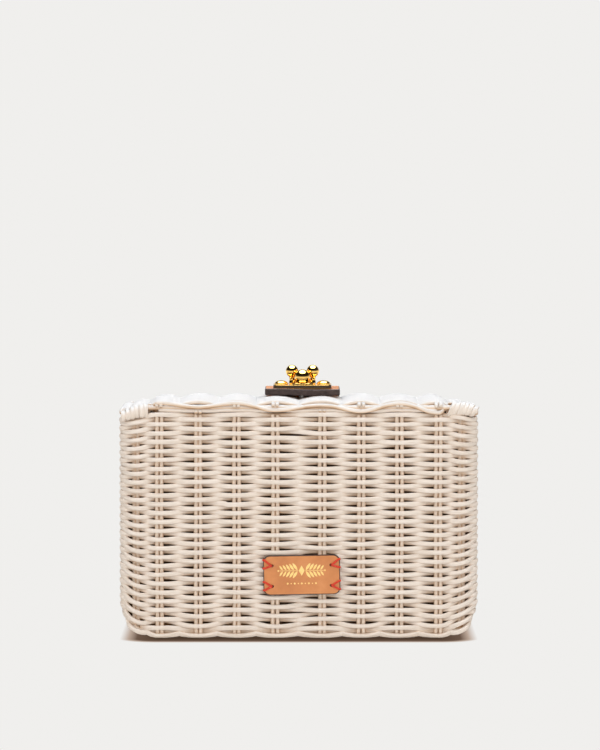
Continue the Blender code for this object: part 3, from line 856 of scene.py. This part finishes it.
def make_hinge_rod():
    x = np.linspace(max(rod_low.x, -ROD_REACH), min(rod_high.x, ROD_REACH), 90)
    line = np.column_stack([x, np.full(90, HINGE_Y), np.full(90, HINGE_Z)])
    reeds = Reeds()
    reeds.add(line, (0, 0, 1), FRAME_ROD, FRAME_ROD, depth=0.2, taper=0.2)
    reeds.finish("hinge_rod_reed", LID_PAINT_LIT_TOP, "lid", ["lid_hinge_rod"])


def make_hinge_wraps():
    """Reed wound round the rod at the two back corners, each turn leaning a little."""
    for name, side in (("left", -1), ("right", 1)):
        low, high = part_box("hinge_wrap_" + name)
        turns = 6
        flat = 0.85 * MM
        edge = 1.6 * MM
        start = min(abs(low.x), abs(high.x)) + edge - 1.2 * MM
        end = max(abs(low.x), abs(high.x)) - edge
        angle = np.linspace(0, 2 * pi * turns, turns * 20 + 1)
        share = angle / angle[-1]
        lean = (0.5 if side < 0 else 1.3) * MM
        droop = (4.6 if side < 0 else 2.2) * MM
        uneven = 0.22 * MM * np.sin(angle / 2.7 + 1) * np.sin(pi * share)
        x = side * (start + (end - start) * share + uneven) + lean * np.cos(angle)
        radius = (high.z - low.z) / 2 - flat + 0.15 * MM * np.sin(angle * 0.37 + side)
        deeper = 0.9 * MM * (1 - share**2)
        sink = (1.0 if side < 0 else 0.2) * MM
        y = HINGE_Y + (radius + 0.4 * MM) * np.sin(angle)
        radius = radius * (1 - 0.12 * share**4)
        z = HINGE_Z - sink - deeper * 0.75 - droop * share ** (1.8 if side < 0 else 4.0) + (radius + deeper) * np.cos(angle)
        outs = np.column_stack([np.zeros_like(x), np.sin(angle), np.cos(angle)])
        reeds = Reeds()
        reeds.add(np.column_stack([x, y, z]), outs, edge, flat, depth=0.5, taper=0.5)
        reeds.finish(f"hinge_wrap_reed_{name}", LID_PAINT_LIT_TOP, "basket", ["hinge_wrap_" + name])


make_lid_rows()
make_lid_stakes()
make_lid_frame()
make_hinge_rod()
make_hinge_wraps()


# ------------------------------------------------------------------ solid pieces


def finish_piece(name, bm, materials, body, replaced=(), bevel=0.0, segments=3, flat=35, worn=-1):
    """Turns a bmesh into a piece with softened edges that rides on a body."""
    bmesh.ops.recalc_face_normals(bm, faces=bm.faces)
    mesh = bpy.data.meshes.new(name)
    bm.to_mesh(mesh)
    bm.free()
    for material in materials:
        mesh.materials.append(material)
    mesh.shade_smooth()
    mesh.set_sharp_from_angle(angle=radians(flat))
    made = bpy.data.objects.new(name, mesh)
    bpy.context.scene.collection.objects.link(made)
    if bevel:
        modifier = made.modifiers.new("soft_edges", "BEVEL")
        modifier.width = bevel
        modifier.segments = segments
        modifier.limit_method = "ANGLE"
        modifier.angle_limit = radians(40)
        modifier.harden_normals = True
        modifier.material = worn
    if replaced:
        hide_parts(*replaced)
    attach(made, body)
    return made


def rounded_outline(half_x, half_y, radius, steps=8):
    points = []
    for corner, (side_x, side_y) in enumerate(((1, 1), (-1, 1), (-1, -1), (1, -1))):
        for step in range(steps + 1):
            angle = (corner + step / steps) * pi / 2
            x = side_x * (half_x - radius) + radius * cos(angle)
            y = side_y * (half_y - radius) + radius * sin(angle)
            points.append((x, y))
    return points


def skin(bm, rings, material=0, ends=(0, 0)):
    """Faces between rings of equally many points, closed at both ends."""
    loops = [[bm.verts.new(point) for point in ring] for ring in rings]
    for low, high in zip(loops, loops[1:]):
        for i in range(len(low)):
            j = (i + 1) % len(low)
            bm.faces.new((low[i], low[j], high[j], high[i])).material_index = material
    bm.faces.new(loops[0][::-1]).material_index = ends[0]
    bm.faces.new(loops[-1]).material_index = ends[1]


def turned(bm, profile, centre, segments=48):
    """A turned solid on an upright axis through centre; profile is (radius, height)."""
    turn = [2 * pi * i / segments for i in range(segments)]
    rings = []
    for radius, height in profile:
        rings.append([(centre.x + radius * cos(a), centre.y + radius * sin(a), height) for a in turn])
    skin(bm, rings)


def middle_of(node):
    low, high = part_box(node)
    return (low + high) / 2


# ------------------------------------------------------------------ clasp


def make_strap():
    """Thick leather over the front of the lid, with painted edges and a slight wave."""
    low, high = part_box("clasp_strap")
    low.y += 2.2 * MM
    thick = 4.2 * MM
    inner = 3 * MM
    face = high.y - thick
    bottom = high.z - thick
    under, over = [], []
    for share in np.linspace(0, 1, 12):
        y = low.y + (face - inner - low.y) * share
        under.append((y, bottom))
        over.append((y, high.z))
    for step in range(1, 9):
        angle = pi / 2 * (1 - step / 8)
        under.append((face - inner + inner * cos(angle), bottom - inner + inner * sin(angle)))
        outer = inner + thick
        over.append((face - inner + outer * cos(angle), bottom - inner + outer * sin(angle)))
    for share in np.linspace(0.1, 1, 9):
        z = bottom - inner + (low.z - bottom + inner) * share
        under.append((face, z))
        over.append((high.y, z))
    bm = bmesh.new()
    columns = 24
    grid = []
    for column in range(columns + 1):
        x = low.x + (high.x - low.x) * column / columns
        wave = 0.28 * MM * sin((x - low.x) / (high.x - low.x) * 2 * pi * 1.1 + 0.4)
        tilt = 0.45 * MM * (0.5 - column / columns)
        ring = []
        for y, z in under + over[::-1]:
            on_top = max(0.0, 1 - max(0.0, y) / (30 * MM))
            ring.append(bm.verts.new((x, y, z + (wave + tilt) * on_top)))
        grid.append(ring)
    count = len(grid[0])
    half = len(under)
    for left, right in zip(grid, grid[1:]):
        for i in range(count):
            j = (i + 1) % count
            face_made = bm.faces.new((left[i], left[j], right[j], right[i]))
            face_made.material_index = 1 if i in (half - 1, count - 1) else 0
    for ring in (grid[0], grid[-1]):
        for i in range(half - 1):
            quad = (ring[i], ring[i + 1], ring[count - 2 - i], ring[count - 1 - i])
            bm.faces.new(quad).material_index = 1
    finish_piece(
        "strap_leather", bm, [LEATHER, EDGE_PAINT], "lid", ["clasp_strap"], 0.7 * MM, 3, 60, 1
    )


def make_plate():
    low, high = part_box("clasp_plate")
    centre = (low + high) / 2
    outline = rounded_outline((high.x - low.x) / 2, (high.y - low.y) / 2, 3 * MM)
    bm = bmesh.new()
    rings = [[(centre.x + x, centre.y + y, z) for x, y in outline] for z in (low.z, high.z)]
    # The plate's sides take the painted dark reflection; its top and bottom are polished gold.
    skin(bm, rings, material=1)
    finish_piece(
        "plate_gilt", bm, [GOLD, PLATE_EDGE_DARK_REFLECTION], "lid", ["clasp_plate"], 0.18 * MM, 2, worn=0
    )


def make_rivets():
    """Domed rivet heads with a thin rim."""
    plate_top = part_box("clasp_plate")[1].z
    for side in ("left", "right"):
        node = "clasp_rivet_" + side
        low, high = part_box(node)
        radius = (high.x - low.x) / 2
        profile = [(radius, plate_top + 0.02 * MM), (radius, plate_top + 0.35 * MM)]
        for step in range(13):
            angle = step / 12 * pi / 2
            height = plate_top + 0.45 * MM + (high.z - plate_top - 0.45 * MM) * sin(angle)
            profile.append(((radius - 0.25 * MM) * cos(angle) + 0.02 * MM, height))
        bm = bmesh.new()
        turned(bm, profile, middle_of(node))
        finish_piece(f"rivet_gilt_{side}", bm, [GOLD], "lid", [node])


def make_knob():
    """Three polished balls on a turned boss; the two outer balls stand on necks."""
    plate_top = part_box("clasp_plate")[1].z
    centre = middle_of("knob_turret")
    bm = bmesh.new()
    boss = [
        (8.7 * MM, 0.06 * MM),
        (8.8 * MM, 0.25 * MM),
        (8.8 * MM, 0.75 * MM),
        (8.5 * MM, 1.05 * MM),
        (6.4 * MM, 1.3 * MM),
        (5.5 * MM, 1.9 * MM),
        (5.1 * MM, 3.4 * MM),
        (4.2 * MM, 4.8 * MM),
        (3.4 * MM, 6.4 * MM),
        (2.4 * MM, 7.6 * MM),
        (0.9 * MM, 8.1 * MM),
    ]
    turned(bm, [(radius, plate_top + height) for radius, height in boss], centre)
    finish_piece("boss_gilt", bm, [GOLD], "knob", ["knob_turret"], flat=50)
    for name in ("left", "right", "middle"):
        node = "knob_ball_" + name
        low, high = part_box(node)
        place = (low + high) / 2
        radius = (high.z - low.z) / 2
        if name == "middle":
            place.z -= 0.5 * MM
        bm = bmesh.new()
        bmesh.ops.create_uvsphere(bm, u_segments=48, v_segments=32, radius=radius)
        bmesh.ops.translate(bm, verts=bm.verts, vec=place)
        finish_piece("ball_gilt_" + name, bm, [GOLD], "knob", [node], flat=180)
        if name == "middle":
            continue
        bm = bmesh.new()
        neck = [
            (2.3 * MM, plate_top + 0.9 * MM),
            (1.9 * MM, plate_top + 1.5 * MM),
            (1.75 * MM, place.z - radius * 0.98),
            (2.2 * MM, place.z - radius * 0.86),
            (1.6 * MM, place.z - radius * 0.7),
        ]
        turned(bm, neck, place, 32)
        finish_piece("neck_gilt_" + name, bm, [GOLD], "knob", flat=60)


make_strap()
make_plate()
make_rivets()
make_knob()


# ------------------------------------------------------------------ label

LABEL_LOW, LABEL_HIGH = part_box("label_patch")
LABEL_MIDDLE = (LABEL_LOW + LABEL_HIGH) / 2
LABEL_TILT = radians(1.0)
HOLE_RADIUS = 1.0 * MM
THREAD_RADIUS = 0.7 * MM


def on_label(x, z, out=0.0):
    """A point on the label's face, from its middle, turned with the label."""
    turned_x = x * cos(LABEL_TILT) - z * sin(LABEL_TILT)
    turned_z = x * sin(LABEL_TILT) + z * cos(LABEL_TILT)
    return Vector((LABEL_MIDDLE.x + turned_x, LABEL_LOW.y - out, LABEL_MIDDLE.z + turned_z))


def hole_places():
    """Hole middles, from the label's middle, with the height of their thread's middle at the edge."""
    for side_z, lift in ((1, 1.1 * MM), (-1, 0.2 * MM)):
        for side_x in (-1, 1):
            yield side_x, side_x * 19.2 * MM, (side_z * 6.7 - 0.4) * MM, lift


def make_label():
    """A leather patch with dark painted edges and a hole near each corner that stops short of the back; the holes'
    walls take the dark edge paint, and their dark floors are painted shade.
    """
    half_x = (LABEL_HIGH.x - LABEL_LOW.x) / 2 + 0.2 * MM
    half_z = (LABEL_HIGH.z - LABEL_LOW.z) / 2
    thick = LABEL_HIGH.y - LABEL_LOW.y
    outline = rounded_outline(half_x, half_z, 4 * MM)
    bm = bmesh.new()
    levels = ((0.6 * MM, 0.0), (0.12 * MM, 0.14 * MM), (0.0, 0.5 * MM), (0.0, thick - 0.3 * MM), (0.3 * MM, thick))
    rings = []
    for shrink, down in levels:
        share_x = 1 - shrink / half_x
        share_z = 1 - shrink / half_z
        rings.append([on_label(x * share_x, z * share_z, -down) for x, z in outline])
    skin(bm, rings, material=1)
    for face in bm.faces:
        middle = face.calc_center_median()
        if len(face.verts) > 4 and middle.y < LABEL_MIDDLE.y:
            face.material_index = 0
    label = finish_piece(
        "label_leather", bm, [LEATHER, EDGE_PAINT], "basket", ["label_patch"], flat=50
    )
    for number, (_, x, z, _) in enumerate(hole_places()):
        bm = bmesh.new()
        turn = [2 * pi * i / 20 for i in range(20)]
        rings = []
        # Each hole stops 0.5 mm short of the back, and its floor keeps the dark edge paint: painted shade in the
        # hole.
        for out in (1 * MM, 0.5 * MM - thick):
            rings.append([on_label(x + HOLE_RADIUS * cos(a), z + HOLE_RADIUS * sin(a), out) for a in turn])
        skin(bm, rings)
        bmesh.ops.recalc_face_normals(bm, faces=bm.faces)
        mesh = bpy.data.meshes.new(f"hole_{number}")
        bm.to_mesh(mesh)
        bm.free()
        mesh.materials.append(EDGE_PAINT)
        cutter = bpy.data.objects.new(f"hole_{number}", mesh)
        bpy.context.scene.collection.objects.link(cutter)
        modifier = label.modifiers.new("punched", "BOOLEAN")
        modifier.object = cutter
        modifier.material_mode = "TRANSFER"
        depsgraph = bpy.context.evaluated_depsgraph_get()
        result = bpy.data.meshes.new_from_object(label.evaluated_get(depsgraph))
        label.modifiers.clear()
        label.data = result
        bpy.data.objects.remove(cutter, do_unlink=True)


def make_threads():
    """Each hole's thread runs out over the label's end in two strands."""
    names = ("top_left", "top_right", "low_left", "low_right")
    half = (LABEL_HIGH.x - LABEL_LOW.x) / 2
    for name, (side, x, z, lift) in zip(names, hole_places()):
        reeds = Reeds()
        for spread in (-2.7 * MM, 2.7 * MM):
            end = z + lift + spread
            edge = half - 0.1 * MM
            line = [
                on_label(x + side * 0.2 * MM, z, -1.3 * MM),
                on_label(x + side * 0.45 * MM, z, -0.3 * MM),
                on_label(x + side * 0.95 * MM, z + (end - z) * 0.14, 0.35 * MM),
                on_label(x + side * 2.5 * MM, z + (end - z) * 0.45, 0.42 * MM),
                on_label(side * (edge - 0.7 * MM), z + (end - z) * 0.95, 0.42 * MM),
                on_label(side * edge, end, 0.1 * MM),
                on_label(side * (edge + 0.1 * MM), end, -1.2 * MM),
                on_label(side * (edge - 0.3 * MM), end, -2.5 * MM),
            ]
            reeds.add(smooth_line(line, 6), (0, -1, 0.001), THREAD_RADIUS, THREAD_RADIUS)
        reeds.finish("thread_" + name, THREAD, "basket", ["label_stitch_" + name], "red_thread")


def smooth_line(points, steps):
    """A Catmull-Rom curve through the points."""
    points = [Vector(p) for p in points]
    padded = [points[0] * 2 - points[1], *points, points[-1] * 2 - points[-2]]
    line = []
    for a, b, c, d in zip(padded, padded[1:], padded[2:], padded[3:]):
        for step in range(steps):
            t = step / steps
            place = 2 * b + (c - a) * t + (2 * a - 5 * b + 4 * c - d) * t**2
            line.append((place + (3 * b - a - 3 * c + d) * t**3) / 2)
    line.append(points[-1])
    return [tuple(p) for p in line]


def leaf(bm, x, z, length, width, angle):
    """A thin foil leaf with its stalk at x, z."""
    outline = []
    for step in range(9):
        share = step / 8
        outline.append((share * length, width * sin(pi * share) ** 0.8))
    outline += [(u, -v) for u, v in outline[1:-1][::-1]]
    foil_shape(bm, [(x + u * cos(angle) - v * sin(angle), z + u * sin(angle) + v * cos(angle)) for u, v in outline])


def foil_shape(bm, outline):
    """A closed flat shape of foil, standing a hair proud of the label."""
    rings = [[on_label(x, z, out) for x, z in outline] for out in (-0.02 * MM, 0.05 * MM)]
    skin(bm, rings)


def foil_dot(bm, x, z, radius):
    turn = [2 * pi * i / 14 for i in range(14)]
    foil_shape(bm, [(x + radius * cos(a), z + radius * sin(a)) for a in turn])


def foil_bar(bm, start, end, z, half):
    foil_shape(bm, [(start, z - half), (end, z - half), (end, z + half), (start, z + half)])


def make_foil():
    """A plain ornament: two sprays of leaves from a lozenge, over a line of dots."""
    bm = bmesh.new()
    stalk = 2.9 * MM
    foil_shape(bm, [(0, stalk - 3.4 * MM), (1.9 * MM, stalk), (0, stalk + 3.4 * MM), (-1.9 * MM, stalk)])
    for side in (-1, 1):
        foil_bar(bm, side * 2.4 * MM, side * 14.4 * MM, stalk, 0.16 * MM)
        for number in range(5):
            x = side * (2.7 + 2.4 * number) * MM
            size = 1 - 0.08 * number
            up = radians(56) if side > 0 else pi - radians(56)
            leaf(bm, x, stalk + 0.3 * MM, 5.6 * MM * size, 0.85 * MM * size, up)
            leaf(bm, x, stalk - 0.3 * MM, 5.6 * MM * size, 0.85 * MM * size, -up)
        foil_dot(bm, side * 15.2 * MM, stalk, 0.55 * MM)
    for number in range(-4, 5):
        foil_dot(bm, number * 2.3 * MM, -5.5 * MM, 0.42 * MM if number % 2 else 0.62 * MM)
    finish_piece("label_foil", bm, [FOIL], "basket")


make_label()
make_threads()
make_foil()


# ------------------------------------------------------------------ linings and latch

CLOTH_THICK = 0.8 * MM
CLOTH_BEND = 12 * MM
HEM = 7 * MM
STITCH = 2.6 * MM
STITCH_PITCH = 4.2 * MM


def pouch_ring(middle, half_x, half_y, corner, z, ripple=0.0, count=160):
    """Points round a rounded rectangle, with soft ripples across its outline."""
    outline = rounded_outline(half_x, half_y, corner, 12)
    lengths = [0.0]
    closed = outline + outline[:1]
    for start, end in zip(closed, closed[1:]):
        lengths.append(lengths[-1] + sqrt((end[0] - start[0]) ** 2 + (end[1] - start[1]) ** 2))
    places = np.arange(count) / count * lengths[-1]
    x = np.interp(places, lengths, [point[0] for point in closed])
    y = np.interp(places, lengths, [point[1] for point in closed])
    wave = ripple * (np.sin(places * 95 + z * 60) + 0.6 * np.sin(places * 171 - z * 95 + 1.3))
    scale = 1 - (np.abs(wave) + wave) / 2 / half_y
    return [(middle.x + u * k, middle.y + v * k, z) for u, v, k in zip(x, y, scale)]


def make_pouch():
    """The cloth pouch inside the basket, with a folded hem under the rim."""
    low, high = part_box("body_lining")
    middle = (low + high) / 2
    half_x = (high.x - low.x) / 2
    half_y = (high.y - low.y) / 2
    corner = 5 * MM
    outer, inner = [], []
    for thick, rings in ((0.0, outer), (CLOTH_THICK, inner)):
        bend = CLOTH_BEND - thick
        for share in np.linspace(0, 1, 7):
            angle = share * pi / 2
            inset = thick + bend * (1 - sin(angle))
            z = low.z + thick + bend * (1 - cos(angle))
            radius = max(corner - thick, 2 * MM) + 0.4 * bend * (1 - sin(angle))
            rings.append(pouch_ring(middle, half_x - inset, half_y - inset, radius, z, 0.2 * MM))
        straight = (high.z - HEM - low.z - CLOTH_BEND) * np.linspace(0.1, 1, 10)
        for z in low.z + CLOTH_BEND + straight:
            rings.append(pouch_ring(middle, half_x - thick, half_y - thick, corner - thick, z, 0.22 * MM))
    hem = []
    for drop, thick in ((HEM, 1.3), (HEM - 0.3 * MM, 2.0), (2 * MM, 1.9), (0.3 * MM, 1.6)):
        inset = thick * CLOTH_THICK
        hem.append(pouch_ring(middle, half_x - inset, half_y - inset, corner - 1.5 * MM, high.z - drop))
    crest = pouch_ring(middle, half_x - CLOTH_THICK, half_y - CLOTH_THICK, corner - CLOTH_THICK, high.z)
    outside = pouch_ring(middle, half_x, half_y, corner, high.z - 0.4 * MM)
    bm = bmesh.new()
    skin(bm, outer + [outside, crest] + hem[::-1] + inner[::-1])
    finish_piece("lining_pouch", bm, [CLOTH], "basket", ["body_lining"], flat=50)
    sewn = pouch_ring(
        middle, half_x - 2 * CLOTH_THICK, half_y - 2 * CLOTH_THICK, corner - 1.5 * MM, high.z - HEM + 1.8 * MM
    )
    make_seam("pouch_seam", sewn, middle, "basket")


def make_seam(name, ring, middle, body, down=False):
    """Running stitches along a closed ring of points."""
    ring = np.array(ring + ring[:1])
    lengths = np.concatenate([[0], np.cumsum(np.linalg.norm(np.diff(ring, axis=0), axis=1))])
    stitches = int(lengths[-1] / STITCH_PITCH)
    reeds = Reeds()
    for number in range(stitches):
        start = number * lengths[-1] / stitches
        places = start + np.linspace(0, STITCH, 4)
        line = np.column_stack([np.interp(places, lengths, ring[:, k]) for k in range(3)])
        if down:
            outs = np.array((0.0, 0.0, -1.0))
        else:
            outs = unit(np.array([[middle.x, middle.y, line[0, 2]]]) - line[:1])[0]
        bow = np.array([0.0, 1.0, 1.0, 0.0])[:, None] * 0.15 * MM
        reeds.add(line + outs * bow, outs, 0.3 * MM, 0.2 * MM, sides=6, taper=0.5)
    reeds.finish(name, CLOTH, body, slot="lining_cloth")


def make_lid_lining():
    """A stiffened cloth panel under the lid, with a hole for the knob's shaft."""
    low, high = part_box("lid_lining")
    middle = (low + high) / 2
    centre = middle_of("knob_shaft")
    bore = (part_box("knob_shaft")[1].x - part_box("knob_shaft")[0].x) / 2 + 0.4 * MM
    half_x = (high.x - low.x) / 2
    half_y = (high.y - low.y) / 2
    edge = pouch_ring(middle, half_x, half_y, 6 * MM, 0.0)

    def ring(share, z):
        points = []
        for x, y, _ in edge:
            away = sqrt((x - centre.x) ** 2 + (y - centre.y) ** 2)
            near_x = centre.x + (x - centre.x) / away * bore
            near_y = centre.y + (y - centre.y) / away * bore
            u = near_x + (x - near_x) * share
            v = near_y + (y - near_y) * share
            points.append((u, v, z - LID_DROOP * float(lid_end(u)) * 0.8))
        return points

    shares = (0, 0.1, 0.3, 0.5, 0.7, 0.85, 0.96)
    under = [ring(share, low.z) for share in shares]
    over = [ring(share, high.z) for share in shares[::-1]]
    rim = [ring(0.975, low.z - 0.4 * MM), ring(0.995, low.z - 0.4 * MM), ring(1, middle.z)]
    rim.append(ring(0.995, high.z))
    rings = under + rim + over
    bm = bmesh.new()
    loops = [[bm.verts.new(point) for point in points] for points in rings]
    for this, other in zip(loops, loops[1:] + loops[:1]):
        for i in range(len(this)):
            j = (i + 1) % len(this)
            bm.faces.new((this[i], this[j], other[j], other[i]))
    finish_piece("lid_lining_cloth", bm, [CLOTH], "lid", ["lid_lining"], flat=50)
    make_seam("lid_seam", ring(0.985, low.z - 0.45 * MM), middle, "lid", down=True)


def plate_latch():
    """Nickel-plated latch pieces keep the frame's shapes and take a procedural metal."""
    names = ("latch_keeper", "keeper_rivet_left", "keeper_rivet_right")
    for name in names + ("knob_shaft", "latch_washer", "latch_cam", "latch_nut"):
        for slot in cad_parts[name].material_slots:
            slot.material = STEEL


make_pouch()
make_lid_lining()
plate_latch()


# ------------------------------------------------------------------ floor, light and camera


BACKGROUND = (0.871, 0.863, 0.846)
EYE_DISTANCE = 2.5
EYE_ELEVATION = radians(3.4)
FRAME_HEIGHT = 0.4875
AIM = Vector((0.8 * MM, -HALF_Y, 172.4 * MM))


def choose(nodes, links, which, first, second):
    """Mixes two shaders by one of the light path's outputs: first where it is 0, second where 1."""
    ray = nodes.new("ShaderNodeLightPath")
    mix = nodes.new("ShaderNodeMixShader")
    links.new(ray.outputs[which], mix.inputs["Fac"])
    links.new(first, mix.inputs[1])
    links.new(second, mix.inputs[2])
    return mix.outputs["Shader"]


def set_world():
    """A plain pale backdrop, a soft room, and for reflections a bright ceiling over a dark room."""
    world = bpy.data.worlds.new("studio")
    bpy.context.scene.world = world
    world.use_nodes = True
    nodes, links = world.node_tree.nodes, world.node_tree.links
    nodes.clear()
    output = nodes.new("ShaderNodeOutputWorld")
    place = nodes.new("ShaderNodeTexCoord").outputs["Generated"]
    parts = nodes.new("ShaderNodeSeparateXYZ")
    links.new(place, parts.inputs["Vector"])
    height = sum_of(nodes, links, sum_of(nodes, links, parts.outputs["Z"], 0.5, "MULTIPLY"), 0.5)
    seen = add_node(nodes, "ShaderNodeBackground", in_Color=(*BACKGROUND, 1), in_Strength=1.0)
    room = add_node(nodes, "ShaderNodeBackground", in_Strength=0.62)
    room_shade = ramp(
        nodes, links, height, [(0.35, (0.62, 0.57, 0.52)), (0.5, (0.62, 0.60, 0.57)), (0.85, (1.0, 0.99, 0.97))]
    )
    links.new(room_shade, room.inputs["Color"])
    mirrored = add_node(nodes, "ShaderNodeBackground", in_Strength=1.0)
    ceiling = ramp(
        nodes,
        links,
        height,
        [(0.5, grey(0.09)), (0.56, grey(0.05)), (0.6, grey(0.002)), (0.90, grey(0.002)), (0.93, grey(1.0))],
    )
    behind = sum_of(nodes, links, sum_of(nodes, links, parts.outputs["Y"], 0.5, "MULTIPLY"), 0.5)
    backdrop = ramp(nodes, links, behind, [(0.82, grey(0.0)), (0.94, grey(0.08))])
    brightest = blend_colour(nodes, links, 1.0, ceiling, backdrop, "LIGHTEN")
    links.new(brightest, mirrored.inputs["Color"])
    mirrored.inputs["Strength"].default_value = 8.0
    lit = choose(nodes, links, "Is Glossy Ray", room.outputs["Background"], mirrored.outputs["Background"])
    shown = choose(nodes, links, "Is Camera Ray", lit, seen.outputs["Background"])
    links.new(shown, output.inputs["Surface"])


def floor_material():
    """A pale plain floor that meets the backdrop without a line. To the camera it glows, with a painted contact
    shadow darkening it round the object; to reflections it is a bright glowing sheet.
    """
    made, nodes, links, shader = new_material("pale_floor_painted_shadow")
    shader.inputs["Base Color"].default_value = (0.8, 0.79, 0.77, 1)
    shader.inputs["Roughness"].default_value = 0.9
    place = nodes.new("ShaderNodeSeparateXYZ")
    links.new(nodes.new("ShaderNodeNewGeometry").outputs["Position"], place.inputs["Vector"])
    beyond = []
    # Painted contact shadow: darkest under the object, fading to the backdrop's colour away from its footprint.
    for axis, reach, fade in (("X", HALF_X - 26 * MM, 26 * MM), ("Y", HALF_Y, 19 * MM)):
        away = sum_of(nodes, links, place.outputs[axis], 0.0, "ABSOLUTE")
        away = sum_of(nodes, links, sum_of(nodes, links, away, reach, "SUBTRACT"), 0.0, "MAXIMUM")
        away = sum_of(nodes, links, away, fade, "DIVIDE")
        beyond.append(sum_of(nodes, links, away, 2.0, "POWER"))
    away = sum_of(nodes, links, sum_of(nodes, links, beyond[0], beyond[1]), 0.5, "POWER")
    shade = ramp(
        nodes,
        links,
        away,
        [
            (0.0, (0.075, 0.046, 0.030)),
            (0.55, (0.15, 0.095, 0.066)),
            (0.76, (0.50, 0.385, 0.31)),
            (0.98, BACKGROUND),
        ],
    )
    glow = nodes.new("ShaderNodeEmission")
    links.new(shade, glow.inputs["Color"])
    reflected = add_node(nodes, "ShaderNodeEmission", in_Color=(1.15, 1.1, 1.0, 1))
    lit = choose(nodes, links, "Is Glossy Ray", shader.outputs["BSDF"], reflected.outputs["Emission"])
    shown = choose(nodes, links, "Is Camera Ray", lit, glow.outputs["Emission"])
    links.new(shown, nodes["Material Output"].inputs["Surface"])
    return made


def add_floor():
    mesh = bpy.data.meshes.new("floor")
    half = 6.0
    corners = [(-half, -half, 0), (half, -half, 0), (half, half, 0), (-half, half, 0)]
    mesh.from_pydata(corners, [], [(0, 1, 2, 3)])
    mesh.materials.append(floor_material())
    floor = bpy.data.objects.new("floor", mesh)
    floor.location.z = -0.2 * MM
    bpy.context.scene.collection.objects.link(floor)


def add_light(name, place, target, size, power, colour=(1.0, 1.0, 1.0), mirrored=False):
    data = bpy.data.lights.new(name, "AREA")
    data.shape = "RECTANGLE"
    data.size, data.size_y = size
    data.energy = power
    light = bpy.data.objects.new(name, data)
    light.location = place
    light.rotation_euler = (Vector(target) - Vector(place)).to_track_quat("-Z", "Y").to_euler()
    light.visible_glossy = mirrored
    data.color = colour
    bpy.context.scene.collection.objects.link(light)


def add_camera():
    data = bpy.data.cameras.new("camera")
    data.sensor_fit = "VERTICAL"
    data.sensor_height = 36
    data.lens = 36 * EYE_DISTANCE / FRAME_HEIGHT
    data.clip_start = 0.05
    camera = bpy.data.objects.new("camera", data)
    away = Vector((0, -cos(EYE_ELEVATION), sin(EYE_ELEVATION)))
    camera.location = AIM + away * EYE_DISTANCE
    camera.rotation_euler = (-away).to_track_quat("-Z", "Y").to_euler()
    bpy.context.scene.collection.objects.link(camera)
    bpy.context.scene.camera = camera


set_world()
add_floor()
add_light("overhead", (0, -0.2, 1.2), (0, 0, 0.1), (1.4, 1.0), 6.0, (0.80, 0.98, 1.24))
add_light("front", (0, -1.9, 0.9), (0, 0, 0.08), (2.2, 1.2), 10.5)
add_light("behind", (0, 1.9, 0.9), (0, 0, 0.08), (2.2, 1.2), 6.0)
add_light("low", (0, -1.9, 0.14), (0, 0, 0.08), (2.4, 0.25), 7.5)
add_camera()
bpy.context.scene.view_settings.view_transform = "Standard"
